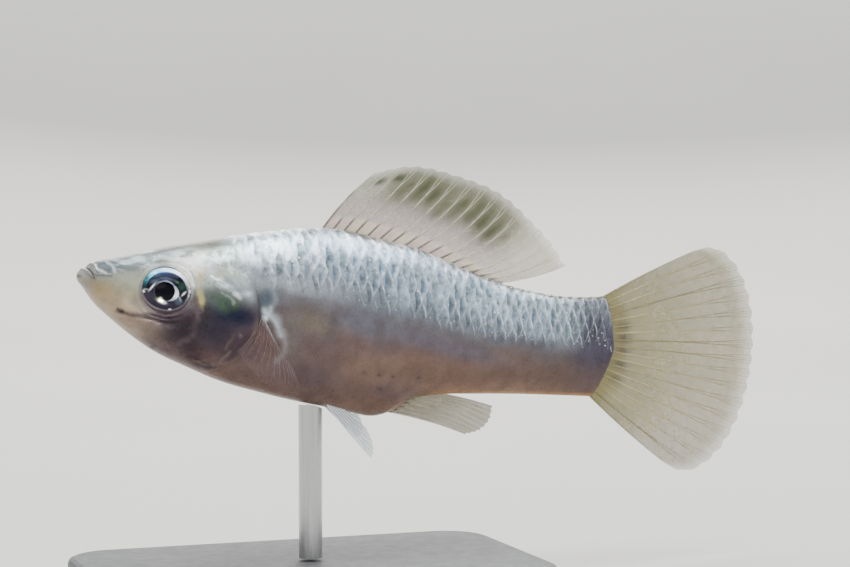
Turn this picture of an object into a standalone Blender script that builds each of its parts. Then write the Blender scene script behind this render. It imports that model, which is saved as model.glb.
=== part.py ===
"""Sailfin molly, a life-size still model in a gentle swimming pose on a plain display stand.

The fish is designed straight, in its own frame: s runs from the tip of the lower jaw (0) to the
tail's root (1), y is sideways (the left flank is -y) and z is up, all as shares of the standard
length. place() bends that frame sideways, tilts it nose up and sets it over the stand, in metres.
The origin is the centre of the stand's underside, and the head points to -X.
"""

import math

import bmesh
import bpy
import numpy as np

STANDARD_LENGTH = 0.060
NOSE_UP = math.radians(8.5)
BEND_START = 0.32
BEND_RATE = 0.156
AXIS_HEIGHT = 0.0300
ROD_STATION = 0.400

GAP = 0.0003
HALF_GAP = GAP / 2

# Each body section: station, back, belly, half width, height of the widest point, and how boxy
# the upper and lower halves are (2 is an ellipse).
SECTIONS = np.array(
    [
        (0.000, 0.0035, -0.0100, 0.014, -0.003, 2.2, 2.2),
        (0.012, 0.0100, -0.0200, 0.027, -0.004, 2.3, 2.2),
        (0.022, 0.0190, -0.0310, 0.033, -0.005, 2.4, 2.2),
        (0.032, 0.0250, -0.0415, 0.038, -0.006, 2.5, 2.2),
        (0.060, 0.034, -0.062, 0.047, -0.010, 2.6, 2.2),
        (0.100, 0.048, -0.087, 0.057, -0.014, 2.7, 2.2),
        (0.150, 0.066, -0.112, 0.066, -0.018, 2.6, 2.1),
        (0.200, 0.080, -0.128, 0.072, -0.022, 2.4, 2.1),
        (0.260, 0.099, -0.145, 0.077, -0.026, 2.2, 2.1),
        (0.330, 0.116, -0.156, 0.079, -0.028, 2.1, 2.1),
        (0.400, 0.130, -0.164, 0.077, -0.028, 2.0, 2.1),
        (0.440, 0.1325, -0.167, 0.075, -0.027, 2.0, 2.1),
        (0.500, 0.127, -0.172, 0.070, -0.026, 2.0, 2.1),
        (0.540, 0.123, -0.174, 0.065, -0.024, 2.0, 2.0),
        (0.575, 0.119, -0.160, 0.060, -0.021, 2.0, 2.0),
        (0.605, 0.113, -0.138, 0.056, -0.018, 2.0, 2.0),
        (0.650, 0.102, -0.126, 0.051, -0.016, 2.0, 2.0),
        (0.730, 0.084, -0.116, 0.043, -0.015, 2.0, 2.0),
        (0.800, 0.0755, -0.109, 0.036, -0.014, 2.0, 2.0),
        (0.880, 0.073, -0.103, 0.027, -0.012, 2.0, 2.0),
        (0.940, 0.079, -0.099, 0.018, -0.010, 2.2, 2.2),
        (0.972, 0.084, -0.097, 0.011, -0.008, 2.6, 2.6),
    ]
)
BACK, BELLY, HALF_WIDTH, WIDEST, BOXY_TOP, BOXY_BELOW = range(1, 7)
HEAD_SIDES = 36
BODY_SIDES = 34
TAIL_ARC_START = 0.972
TAIL_ARC_DEPTH = 0.028

# The rear edge of the gill cover, from the nape down to the throat, in side view.
GILL_EDGE = np.array(
    [
        (0.262, 0.150),
        (0.258, 0.075),
        (0.262, 0.040),
        (0.281, 0.012),
        (0.290, -0.020),
        (0.290, -0.055),
        (0.278, -0.090),
        (0.252, -0.118),
        (0.222, -0.138),
        (0.196, -0.170),
    ]
)
GILL_RISE = 0.0060
GILL_BAND = 0.070

# The cut between the lower jaw and the head, from in front of the lips back to the chin.
JAW_EDGE = np.array(
    [
        (-0.030, 0.045),
        (0.0135, 0.0125),
        (0.028, -0.004),
        (0.044, -0.024),
        (0.062, -0.050),
        (0.074, -0.084),
        (0.080, -0.130),
    ]
)
LIP_RADIUS = 0.0050
LIP_HALF_WIDTH = 0.034

EYE_CENTRE = (0.137, -0.006)
EYE_RADII = (0.0465, 0.0245, 0.0395)
EYE_PROUD = 0.0120
EYE_FORWARD = math.radians(9)
EYE_UP = math.radians(6)
NOSTRILS = ((0.058, 0.62), (0.079, 0.60))
NOSTRIL_RADIUS = 0.0042

TRUNK_END = 0.760

MEMBRANE_HALF = 0.00025
MEMBRANE_EDGE_HALF = 0.00013
RAY_RIDGE = 0.00017
RAY_HALF_WIDTH = 0.00017

BASE_LENGTH = 0.046
BASE_WIDTH = 0.028
BASE_THICKNESS = 0.004
BASE_CORNER = 0.005
ROD_RADIUS = 0.0012


def smooth_curve(stations, values):
    """A function through the values, cubic between stations and level with its neighbours' slope."""
    slopes = np.gradient(values, stations)

    def at(s):
        s = np.clip(s, stations[0], stations[-1])
        i = np.clip(np.searchsorted(stations, s, side="right") - 1, 0, len(stations) - 2)
        width = stations[i + 1] - stations[i]
        t = (s - stations[i]) / width
        return (
            (2 * t**3 - 3 * t**2 + 1) * values[i]
            + (t**3 - 2 * t**2 + t) * width * slopes[i]
            + (3 * t**2 - 2 * t**3) * values[i + 1]
            + (t**3 - t**2) * width * slopes[i + 1]
        )

    return at


PROFILE = {column: smooth_curve(SECTIONS[:, 0], SECTIONS[:, column]) for column in range(1, 7)}


def smoothstep(t):
    t = np.clip(t, 0, 1)
    return t * t * (3 - 2 * t)


def section_sizes(s):
    """(back, belly, half width, widest height, two boxiness values) at station s."""
    sizes = [float(PROFILE[column](s)) for column in range(1, 7)]
    if s > TAIL_ARC_START:
        # The tail's root ends in a shallow arc, so its height closes like an ellipse.
        share = math.sqrt(max(0.0, 1 - (s - TAIL_ARC_START) / TAIL_ARC_DEPTH))
        sizes[0] = sizes[3] + (sizes[0] - sizes[3]) * share
        sizes[1] = sizes[3] + (sizes[1] - sizes[3]) * share
    return sizes


def gill_station(z):
    return np.interp(z, GILL_EDGE[::-1, 1], GILL_EDGE[::-1, 0])


def cover_rise(s, z):
    """How far the gill cover stands out at a point in front of its rear edge."""
    near_edge = smoothstep((s - gill_station(z) + GILL_BAND) / GILL_BAND)
    on_side = smoothstep((0.045 - z) / 0.03) * smoothstep((z + 0.150) / 0.03)
    return GILL_RISE * near_edge * on_side


def body_point(s, angle, grow=0.0, covered=False):
    """A point of the body's surface; the angle runs from 0 at the right flank up over the back."""
    back, belly, half_width, widest, boxy_top, boxy_below = section_sizes(s)
    c, d = math.cos(angle), math.sin(angle)
    boxy = boxy_top if d > 0 else boxy_below
    height = (back - widest if d > 0 else widest - belly) + grow
    y = math.copysign(abs(c) ** (2 / boxy), c) * (half_width + grow)
    z = widest + math.copysign(abs(d) ** (2 / boxy), d) * height
    if covered:
        y += math.copysign(cover_rise(s, z), y) * min(1.0, abs(y) / half_width * 1.6)
    return (s, y, z)


def flank_y(s, z):
    """The half width of the body at station s and height z."""
    back, belly, half_width, widest, boxy_top, boxy_below = section_sizes(s)
    boxy = boxy_top if z > widest else boxy_below
    height = back - widest if z > widest else widest - belly
    return half_width * max(0.0, 1 - (abs(z - widest) / height) ** boxy) ** (1 / boxy)


def bend_tables(steps=400, reach=1.5):
    """The bent centreline: its length along, then its x, y and heading, as shares of the length."""
    along = np.linspace(0, reach, steps)
    heading = np.arctan(np.where(along > BEND_START, 2 * BEND_RATE * (along - BEND_START), 0.0))
    step = along[1]
    x = np.concatenate([[0], np.cumsum((np.cos(heading[1:]) + np.cos(heading[:-1])) / 2) * step])
    y = np.concatenate([[0], np.cumsum((np.sin(heading[1:]) + np.sin(heading[:-1])) / 2) * step])
    return along, x, y, heading


ALONG, LINE_X, LINE_Y, HEADING = bend_tables()


def place(points):
    """Fish frame to world frame: bent sideways, tilted nose up and set over the stand."""
    p = np.atleast_2d(np.asarray(points, float))
    inside = np.maximum(p[:, 0], 0)
    before = np.minimum(p[:, 0], 0)
    heading = np.interp(inside, ALONG, HEADING)
    x = np.interp(inside, ALONG, LINE_X) + before - p[:, 1] * np.sin(heading)
    y = np.interp(inside, ALONG, LINE_Y) + p[:, 1] * np.cos(heading)
    z = p[:, 2]
    c, d = math.cos(NOSE_UP), math.sin(NOSE_UP)
    world = np.column_stack([c * (x - ROD_STATION) + d * z, y, c * z - d * (x - ROD_STATION)])
    return world * STANDARD_LENGTH + (0, 0, AXIS_HEIGHT)


def fresh_collection(name):
    made = bpy.data.collections.new(name)
    bpy.context.scene.collection.children.link(made)
    return made


def material(name, colour, roughness, metallic=0.0, alpha=1.0):
    made = bpy.data.materials.new(name)
    made.use_nodes = True
    shader = made.node_tree.nodes["Principled BSDF"]
    shader.inputs["Base Color"].default_value = (*colour, 1)
    shader.inputs["Roughness"].default_value = roughness
    shader.inputs["Metallic"].default_value = metallic
    shader.inputs["Alpha"].default_value = alpha
    return made


def mesh_object(name, vertices, faces, collection):
    mesh = bpy.data.meshes.new(name)
    mesh.from_pydata([tuple(map(float, v)) for v in vertices], [], faces)
    mesh.validate()
    obj = bpy.data.objects.new(name, mesh)
    collection.objects.link(obj)
    return obj


def face_out(obj):
    shape = bmesh.new()
    shape.from_mesh(obj.data)
    bmesh.ops.recalc_face_normals(shape, faces=shape.faces)
    shape.to_mesh(obj.data)
    shape.free()


def loft(name, rings, collection):
    """A closed solid over rings of equal length, capped flat at both ends."""
    rings = [place(ring) for ring in rings]
    count = len(rings[0])
    faces = []
    for i in range(len(rings) - 1):
        for j in range(count):
            k = (j + 1) % count
            faces.append((i * count + j, i * count + k, (i + 1) * count + k, (i + 1) * count + j))
    faces.append(tuple(range(count)))
    faces.append(tuple((len(rings) - 1) * count + j for j in reversed(range(count))))
    obj = mesh_object(name, np.concatenate(rings), faces, collection)
    face_out(obj)
    return obj


def body_loft(name, stations, around, collection, grow=0.0, covered=False):
    angles = [2 * math.pi * (j + 0.5) / around for j in range(around)]
    rings = [[body_point(s, a, grow, covered) for a in angles] for s in stations]
    return loft(name, rings, collection)


def prism(name, outline, half_depth, collection):
    """A flat outline in side view, carried through the fish from side to side."""
    near = [(s, -half_depth, z) for s, z in outline]
    far = [(s, half_depth, z) for s, z in outline]
    return loft(name, [near, far], collection)


def offset_line(line, distance):
    """The line moved to its left, as it runs, by a distance."""
    run = np.gradient(line, axis=0)
    run /= np.linalg.norm(run, axis=1)[:, None]
    return line + np.column_stack([-run[:, 1], run[:, 0]]) * distance


def smooth_line(points, count):
    """More points on a smooth line through a few."""
    steps = np.concatenate([[0], np.cumsum(np.linalg.norm(np.diff(points, axis=0), axis=1))])
    at = np.linspace(0, steps[-1], count)
    return np.column_stack([smooth_curve(steps, points[:, k])(at) for k in range(points.shape[1])])


def evaluated_mesh(obj):
    bpy.context.view_layer.update()
    graph = bpy.context.evaluated_depsgraph_get()
    return bpy.data.meshes.new_from_object(obj.evaluated_get(graph))


def apply_modifiers(obj):
    made = evaluated_mesh(obj)
    old = obj.data
    obj.modifiers.clear()
    obj.data = made
    bpy.data.meshes.remove(old)


def boolean(obj, other, operation):
    cut = obj.modifiers.new("cut", "BOOLEAN")
    cut.operation = operation
    cut.object = other
    apply_modifiers(obj)
    bpy.data.objects.remove(other)


def keep_largest(obj):
    """Drops the scraps that a cut leaves, keeping the largest closed surface."""
    shape = bmesh.new()
    shape.from_mesh(obj.data)
    left = set(shape.faces)
    pieces = []
    while left:
        piece = {left.pop()}
        reached = list(piece)
        while reached:
            face = reached.pop()
            for edge in face.edges:
                for other in edge.link_faces:
                    if other in left:
                        left.discard(other)
                        piece.add(other)
                        reached.append(other)
        pieces.append(piece)
    pieces.sort(key=lambda piece: sum(face.calc_area() for face in piece))
    scraps = [face for piece in pieces[:-1] for face in piece]
    bmesh.ops.delete(shape, geom=scraps, context="FACES")
    shape.to_mesh(obj.data)
    shape.free()


def lip(name, front, drop, collection):
    """A bead along the mouth's edge, from one corner round the front to the other."""
    steps = 16
    curve = bpy.data.curves.new(name, "CURVE")
    curve.dimensions = "3D"
    curve.bevel_depth = LIP_RADIUS * STANDARD_LENGTH
    curve.bevel_resolution = 2
    curve.use_fill_caps = True
    line = curve.splines.new("POLY")
    line.points.add(steps)
    for i, point in enumerate(line.points):
        turn = math.pi * (i / steps - 0.5)
        back = 1 - math.cos(turn)
        where = (front[0] + drop[0] * back, LIP_HALF_WIDTH * math.sin(turn), front[1] + drop[1] * back)
        point.co = (*place(where)[0], 1)
        point.radius = 1 - 0.35 * abs(math.sin(turn)) ** 4
    tube = bpy.data.objects.new(name, curve)
    collection.objects.link(tube)
    made = bpy.data.objects.new(name + "_solid", evaluated_mesh(tube))
    collection.objects.link(made)
    bpy.data.objects.remove(tube)
    shape = bmesh.new()
    shape.from_mesh(made.data)
    bmesh.ops.remove_doubles(shape, verts=shape.verts, dist=1e-6)
    bmesh.ops.recalc_face_normals(shape, faces=shape.faces)
    shape.to_mesh(made.data)
    shape.free()
    return made


def spaced(start, end, step):
    return list(np.linspace(start, end, max(2, int(round((end - start) / step)) + 1)))


def jaw_outline(grow):
    """The lower jaw's side of the jaw cut, closed in front of and below the chin."""
    line = offset_line(smooth_line(JAW_EDGE, 24), grow / STANDARD_LENGTH)
    return [*map(tuple, line), (0.10, -0.25), (-0.10, -0.25), (-0.10, 0.045)]


def make_head(parts, cutters):
    stations = [0.0, *spaced(0.006, 0.06, 0.009), *spaced(0.072, 0.34, 0.0135)]
    head = body_loft("head", stations, HEAD_SIDES, parts, covered=True)
    boolean(head, lip("upper_lip", (0.0235, 0.0160), (0.0085, -0.0190), cutters), "UNION")
    boolean(head, prism("jaw_space", jaw_outline(HALF_GAP), 0.2, cutters), "DIFFERENCE")
    edge = offset_line(smooth_line(GILL_EDGE, 30), -HALF_GAP / STANDARD_LENGTH)
    behind = [*map(tuple, edge), (0.45, -0.25), (0.45, 0.20)]
    boolean(head, prism("trunk_space", behind, 0.2, cutters), "DIFFERENCE")
    for side in (-1, 1):
        socket = eye_solid(f"socket{side}", side, GAP / STANDARD_LENGTH, cutters)
        boolean(head, socket, "DIFFERENCE")
        for n, (station, rise) in enumerate(NOSTRILS):
            boolean(head, nostril(f"nostril{side}{n}", station, rise, side, cutters), "DIFFERENCE")
    keep_largest(head)
    return head


def nostril(name, station, rise, side, collection):
    """A small ball set half into the snout's shoulder, at a share of its height over the flank."""
    x, y, z = body_point(station, math.pi / 2 * rise)
    bpy.ops.mesh.primitive_uv_sphere_add(segments=10, ring_count=6, radius=NOSTRIL_RADIUS * STANDARD_LENGTH)
    pit = bpy.context.object
    pit.name = name
    move_to(pit, collection)
    pit.location = place((x, side * y, z))[0]
    return pit


def make_jaw(parts, cutters):
    stations = [0.0, *spaced(0.006, 0.06, 0.009), *spaced(0.072, 0.099, 0.0135)]
    jaw = body_loft("lower_jaw", stations, HEAD_SIDES, parts)
    boolean(jaw, lip("lower_lip", (0.0085, 0.0065), (0.0205, -0.0165), cutters), "UNION")
    boolean(jaw, prism("jaw_shape", jaw_outline(-HALF_GAP), 0.2, cutters), "INTERSECT")
    keep_largest(jaw)
    return jaw


def move_to(obj, collection):
    for old in list(obj.users_collection):
        old.objects.unlink(obj)
    collection.objects.link(obj)


def eye_solid(name, side, grow, collection):
    """A flattened ball that faces out, a little forward and up."""
    bpy.ops.mesh.primitive_uv_sphere_add(segments=20, ring_count=10, radius=1.0)
    eye = bpy.context.object
    eye.name = name
    move_to(eye, collection)
    s, z = EYE_CENTRE
    radii = [radius + grow for radius in EYE_RADII]
    centre_y = flank_y(s, z) + EYE_PROUD - EYE_RADII[1]
    turn, lift = EYE_FORWARD, EYE_UP
    points = []
    for vertex in eye.data.vertices:
        # The ball's pole points outwards, so that its rings circle the pupil.
        along, up, out = vertex.co.x * radii[0], vertex.co.y * radii[2], vertex.co.z * radii[1]
        up, out = up * math.cos(lift) + out * math.sin(lift), out * math.cos(lift) - up * math.sin(lift)
        forward = along * math.cos(turn) - out * math.sin(turn)
        out = out * math.cos(turn) + along * math.sin(turn)
        along = forward
        points.append((s + along, side * (centre_y + out), z + up))
    for vertex, point in zip(eye.data.vertices, place(points)):
        vertex.co = point
    face_out(eye)
    return eye


def make_trunk(parts, cutters):
    stations = [*spaced(0.185, 0.52, 0.028), *spaced(0.54, 0.63, 0.015), *spaced(0.655, TRUNK_END, 0.026)]
    stations[-1] = TRUNK_END - HALF_GAP / STANDARD_LENGTH
    trunk = body_loft("trunk", stations, BODY_SIDES, parts)
    edge = offset_line(smooth_line(GILL_EDGE, 30), HALF_GAP / STANDARD_LENGTH)
    ahead = [*map(tuple, edge), (0.10, -0.25), (0.10, 0.20)]
    boolean(trunk, prism("head_space", ahead, 0.2, cutters), "DIFFERENCE")
    keep_largest(trunk)
    return trunk


def make_tail_stock(parts):
    first = TRUNK_END + HALF_GAP / STANDARD_LENGTH
    arc = [TAIL_ARC_START + TAIL_ARC_DEPTH * share for share in (0.3, 0.6, 0.82, 0.95)]
    return body_loft("tail_stock", [first, *spaced(0.79, TAIL_ARC_START, 0.03), *arc], BODY_SIDES, parts)


def fin(name, rays, collection, ridge=RAY_RIDGE, root_half=MEMBRANE_HALF):
    """A thin membrane with each ray a ridge on both faces.

    rays is rays x rows x 3 in the world frame. Each ray has a foot on either side of its crest, and
    both faces are split along the same diagonals, so that a curved fin stays one closed skin.
    """
    rays = np.asarray(rays)
    count, rows = rays.shape[:2]
    across = np.gradient(rays, axis=0)
    across /= np.linalg.norm(across, axis=2)[..., None]
    along = np.gradient(rays, axis=1)
    out = np.cross(along, across)
    out /= np.linalg.norm(out, axis=2)[..., None]
    share = np.linspace(0, 1, rows)
    thin = root_half + (MEMBRANE_EDGE_HALF - root_half) * share**2
    crest = thin + ridge * (1 - share**3)
    gaps = np.linalg.norm(np.diff(rays, axis=0), axis=2)
    room = np.minimum(np.concatenate([gaps[:1], gaps]), np.concatenate([gaps, gaps[-1:]]))
    foot = np.minimum(RAY_HALF_WIDTH, 0.3 * room)[..., None]
    columns, halves = [], []
    for i in range(count):
        for offset, half in ((-1, thin), (0, crest), (1, thin)):
            columns.append(rays[i] + offset * foot[i] * across[i])
            halves.append(half[:, None] * out[i])
    columns, halves = np.array(columns), np.array(halves)
    wide = len(columns)
    vertices = np.concatenate([(columns + halves).reshape(-1, 3), (columns - halves).reshape(-1, 3)])
    back = wide * rows
    faces = []
    for i in range(wide - 1):
        for j in range(rows - 1):
            a, b = i * rows + j, i * rows + j + 1
            c, d = (i + 1) * rows + j + 1, (i + 1) * rows + j
            faces += [(a, b, c), (a, c, d), (back + c, back + b, back + a), (back + d, back + c, back + a)]
    rim = [i * rows for i in range(wide)]
    rim += [(wide - 1) * rows + j for j in range(1, rows)]
    rim += [i * rows + rows - 1 for i in reversed(range(wide - 1))]
    rim += list(reversed(range(1, rows - 1)))
    for a, b in zip(rim, rim[1:] + rim[:1]):
        faces += [(a, b, back + b), (a, back + b, back + a)]
    made = mesh_object(name, vertices, faces, collection)
    face_out(made)
    return made


def bowed(start, end, lean, rows):
    """Points from start to end that leave start along the lean direction and bow gently to the end."""
    start, end, lean = (np.asarray(v, float) for v in (start, end, lean))
    reach = np.linalg.norm(end - start)
    middle = start + lean / np.linalg.norm(lean) * reach * 0.5
    t = np.linspace(0, 1, rows)[:, None]
    return (1 - t) ** 2 * start + 2 * t * (1 - t) * middle + t**2 * end


DORSAL_RAYS = 17
DORSAL_BASE = (0.401, 0.724)
DORSAL_MARGIN = np.array(
    [
        (0.482, 0.236),
        (0.545, 0.257),
        (0.640, 0.254),
        (0.725, 0.236),
        (0.793, 0.198),
        (0.845, 0.161),
        (0.878, 0.128),
    ]
)
DORSAL_LEAN = (63, 8)


def dorsal_shares():
    """Where each ray roots along the fin's base: close in front, wide in the middle, closest behind."""
    x = (np.arange(DORSAL_RAYS - 1) + 0.5) / (DORSAL_RAYS - 1)
    steps = np.cumsum(9.5 + 4 * np.sin(math.pi * x) - 2.5 * x)
    return np.concatenate([[0], steps / steps[-1]])


def make_dorsal_fin(parts):
    gap = GAP / STANDARD_LENGTH
    tips = smooth_line(DORSAL_MARGIN, DORSAL_RAYS)
    rays = []
    for i, share in enumerate(dorsal_shares()):
        s = DORSAL_BASE[0] + (DORSAL_BASE[1] - DORSAL_BASE[0]) * share
        lean = math.radians(DORSAL_LEAN[0] + (DORSAL_LEAN[1] - DORSAL_LEAN[0]) * share)
        root = (s, PROFILE[BACK](s) + gap)
        line = bowed(root, tips[i], (math.cos(lean), math.sin(lean)), 8)
        rays.append(place(np.column_stack([line[:, 0], np.zeros(len(line)), line[:, 1]])))
    return fin("dorsal_fin", rays, parts)


ANAL_RAYS = 9
ANAL_BASE = (0.557, 0.640)
ANAL_TIPS = np.array([(0.722, -0.188), (0.752, -0.176), (0.766, -0.158), (0.768, -0.134)])
ANAL_LEAN = (-3, -1)


def make_anal_fin(parts):
    gap = GAP / STANDARD_LENGTH
    tips = smooth_line(ANAL_TIPS, ANAL_RAYS)
    rays = []
    for i in range(ANAL_RAYS):
        share = i / (ANAL_RAYS - 1)
        s = ANAL_BASE[0] + (ANAL_BASE[1] - ANAL_BASE[0]) * share
        lean = math.radians(ANAL_LEAN[0] + (ANAL_LEAN[1] - ANAL_LEAN[0]) * share)
        slope = (PROFILE[BELLY](s + 0.002) - PROFILE[BELLY](s - 0.002)) / 0.004
        tilt = math.hypot(1, slope)
        root = (s + gap * slope / tilt, PROFILE[BELLY](s) - gap / tilt)
        line = bowed(root, tips[i], (math.cos(lean), math.sin(lean)), 6)
        rays.append(place(np.column_stack([line[:, 0], np.zeros(len(line)), line[:, 1]])))
    return fin("anal_fin", rays, parts)


CAUDAL_RAYS = 18
CAUDAL_SPREAD = math.radians(29)
CAUDAL_REACH = 0.347
CAUDAL_EDGE_REACH = 0.222


def make_caudal_fin(parts):
    gap = GAP / STANDARD_LENGTH
    rays = []
    for i in range(CAUDAL_RAYS):
        share = 2 * i / (CAUDAL_RAYS - 1) - 1
        back, belly = PROFILE[BACK](TAIL_ARC_START), PROFILE[BELLY](TAIL_ARC_START)
        widest = PROFILE[WIDEST](TAIL_ARC_START)
        height = (back - widest) if share > 0 else (widest - belly)
        z = widest + share * height * 0.97
        s = TAIL_ARC_START + TAIL_ARC_DEPTH * (1 - share**2) + gap
        turn = CAUDAL_SPREAD * math.copysign(abs(share) ** 1.1, share)
        reach = CAUDAL_EDGE_REACH + (CAUDAL_REACH - CAUDAL_EDGE_REACH) * math.sqrt(1 - abs(share) ** 2.6)
        tip = (s + reach * math.cos(turn), z + reach * math.sin(turn))
        line = bowed((s, z), tip, (math.cos(turn * 1.12), math.sin(turn * 1.12)), 8)
        rays.append(place(np.column_stack([line[:, 0], np.zeros(len(line)), line[:, 1]])))
    return fin("caudal_fin", rays, parts)


PECTORAL_RAYS = 10
PECTORAL_ROOT_TOP = (0.303, -0.018)
PECTORAL_ROOT_LOW = (0.316, -0.060)
PECTORAL_SUNK = 0.016
# The way the top and the lowest ray point (back, out, up): a fin held out and down, as in hovering.
PECTORAL_TOP_WAY = (-0.45, 0.78, -0.43)
PECTORAL_LOW_WAY = (0.30, 0.75, -0.58)
PECTORAL_REACH = (0.158, 0.180, 0.120)


def make_pectoral_fin(side, parts, cutters):
    reach = smooth_curve(np.array([0, 0.4, 1]), np.array(PECTORAL_REACH))
    rays = []
    for i in range(PECTORAL_RAYS):
        share = i / (PECTORAL_RAYS - 1)
        s, z = np.add(PECTORAL_ROOT_TOP, np.subtract(PECTORAL_ROOT_LOW, PECTORAL_ROOT_TOP) * share)
        y = flank_y(s, z) - PECTORAL_SUNK
        way = np.array(PECTORAL_TOP_WAY) * (1 - share) + np.array(PECTORAL_LOW_WAY) * share
        way *= (1, side, 1) / np.linalg.norm(way)
        root = np.array((s, side * y, z))
        rays.append(place(bowed(root, root + way * float(reach(share)), way + (0.22, 0, 0.10), 7)))
    name = "pectoral_fin_left" if side < 0 else "pectoral_fin_right"
    made = fin(name, rays, parts)
    inside = body_loft("trunk_grown", spaced(0.24, 0.62, 0.028), BODY_SIDES, cutters, GAP / STANDARD_LENGTH)
    boolean(made, inside, "DIFFERENCE")
    keep_largest(made)
    return made


PELVIC_RAYS = 6
PELVIC_ROOT = (0.437, 0.019)
PELVIC_ROOT_LENGTH = 0.022
PELVIC_REACH = {-1: 0.134, 1: 0.118}
PELVIC_LEAN = {-1: (-43, -33), 1: (-33, -20)}
PELVIC_OUT = {-1: math.radians(9), 1: math.radians(16)}


def make_pelvic_fin(side, parts, cutters):
    rays = []
    for i in range(PELVIC_RAYS):
        share = i / (PELVIC_RAYS - 1)
        s = PELVIC_ROOT[0] + PELVIC_ROOT_LENGTH * share
        y = PELVIC_ROOT[1] - 0.006 * share
        z = float(PROFILE[BELLY](s)) + 0.016
        first, last = PELVIC_LEAN[side]
        turn = math.radians(first + (last - first) * share)
        reach = PELVIC_REACH[side] * (1 - 0.42 * share**1.5)
        out = PELVIC_OUT[side]
        tip = (
            s + reach * math.cos(turn),
            side * (y - reach * math.sin(turn) * math.tan(out)),
            z + reach * math.sin(turn),
        )
        lean = (math.cos(turn), side * 0.1, math.sin(turn * 1.2))
        rays.append(place(bowed((s, side * y, z), tip, lean, 6)))
    name = "pelvic_fin_left" if side < 0 else "pelvic_fin_right"
    made = fin(name, rays, parts)
    inside = body_loft("trunk_grown", spaced(0.38, 0.62, 0.028), BODY_SIDES, cutters, GAP / STANDARD_LENGTH)
    boolean(made, inside, "DIFFERENCE")
    keep_largest(made)
    return made


def make_base(parts):
    bpy.ops.mesh.primitive_cube_add(size=1, location=(0, 0, BASE_THICKNESS / 2))
    base = bpy.context.object
    base.name = "stand_base"
    move_to(base, parts)
    base.scale = (BASE_LENGTH, BASE_WIDTH, BASE_THICKNESS)
    bpy.ops.object.transform_apply(location=True, rotation=False, scale=True)
    shape = bmesh.new()
    shape.from_mesh(base.data)
    upright = [e for e in shape.edges if abs(e.verts[0].co.z - e.verts[1].co.z) > BASE_THICKNESS / 2]
    bmesh.ops.bevel(
        shape, geom=upright, offset=BASE_CORNER, segments=6, profile=0.5, affect="EDGES", clamp_overlap=True
    )
    top = [e for e in shape.edges if min(v.co.z for v in e.verts) > BASE_THICKNESS * 0.9]
    bmesh.ops.bevel(
        shape, geom=top, offset=0.0006, segments=2, profile=0.5, affect="EDGES", clamp_overlap=True
    )
    shape.to_mesh(base.data)
    shape.free()
    return base


def make_rod(parts, cutters):
    low = BASE_THICKNESS + GAP
    high = AXIS_HEIGHT
    bpy.ops.mesh.primitive_cylinder_add(
        vertices=16, radius=ROD_RADIUS, depth=high - low, location=(0, 0, (high + low) / 2)
    )
    rod = bpy.context.object
    rod.name = "stand_rod"
    move_to(rod, parts)
    inside = body_loft("trunk_grown", spaced(0.33, 0.52, 0.028), BODY_SIDES, cutters, GAP / STANDARD_LENGTH)
    boolean(rod, inside, "DIFFERENCE")
    keep_largest(rod)
    return rod


def finish_part(obj, look):
    obj.data.materials.clear()
    obj.data.materials.append(look)
    obj.data.shade_smooth()
    obj.data.set_sharp_from_angle(angle=math.radians(35))


def main():
    for obj in list(bpy.data.objects):
        bpy.data.objects.remove(obj)
    parts = fresh_collection("sailfin_molly")
    cutters = fresh_collection("cutters")
    skin = material("skin", (0.42, 0.45, 0.46), 0.35)
    jaw_skin = material("jaw_skin", (0.50, 0.46, 0.38), 0.40)
    membrane = material("fin_membrane", (0.62, 0.60, 0.52), 0.40, alpha=0.6)
    eye = material("eye", (0.10, 0.12, 0.15), 0.08)
    plinth = material("plinth", (0.05, 0.05, 0.055), 0.45)
    steel = material("steel", (0.62, 0.62, 0.63), 0.30, metallic=1.0)

    finish_part(make_head(parts, cutters), skin)
    finish_part(make_jaw(parts, cutters), jaw_skin)
    finish_part(make_trunk(parts, cutters), skin)
    finish_part(make_tail_stock(parts), skin)
    for side, word in ((-1, "left"), (1, "right")):
        finish_part(eye_solid(f"eye_{word}", side, 0.0, parts), eye)
        finish_part(make_pectoral_fin(side, parts, cutters), membrane)
        finish_part(make_pelvic_fin(side, parts, cutters), membrane)
    finish_part(make_dorsal_fin(parts), membrane)
    finish_part(make_anal_fin(parts), membrane)
    finish_part(make_caudal_fin(parts), membrane)
    finish_part(make_base(parts), plinth)
    finish_part(make_rod(parts, cutters), steel)


main()
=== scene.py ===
"""Looks of the sailfin molly model: one skin with scales over it, eyes, rayed fins and the stand.

Everything is designed in the fish's own straight frame, as the solids are: s runs from the tip of
the lower jaw (0) to the tail's root (1), y is sideways (the left flank is -y) and z is up, all as
shares of the standard length. place() bends, tilts and lifts that frame into metres.
"""

import math

import bmesh
import bpy
import numpy as np
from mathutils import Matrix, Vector


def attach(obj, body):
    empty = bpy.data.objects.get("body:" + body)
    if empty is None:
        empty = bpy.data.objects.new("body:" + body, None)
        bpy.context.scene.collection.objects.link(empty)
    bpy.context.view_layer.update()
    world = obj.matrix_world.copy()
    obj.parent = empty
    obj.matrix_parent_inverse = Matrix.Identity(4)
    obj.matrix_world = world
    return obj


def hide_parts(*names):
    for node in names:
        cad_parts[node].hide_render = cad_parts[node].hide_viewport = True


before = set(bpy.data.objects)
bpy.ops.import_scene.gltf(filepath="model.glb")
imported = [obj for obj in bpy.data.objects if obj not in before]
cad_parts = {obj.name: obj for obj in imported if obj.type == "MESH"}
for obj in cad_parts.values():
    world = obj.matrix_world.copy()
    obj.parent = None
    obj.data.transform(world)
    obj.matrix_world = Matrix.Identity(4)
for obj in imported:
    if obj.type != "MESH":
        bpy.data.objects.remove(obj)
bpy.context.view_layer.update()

# The fish's form, as in the solids

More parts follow.
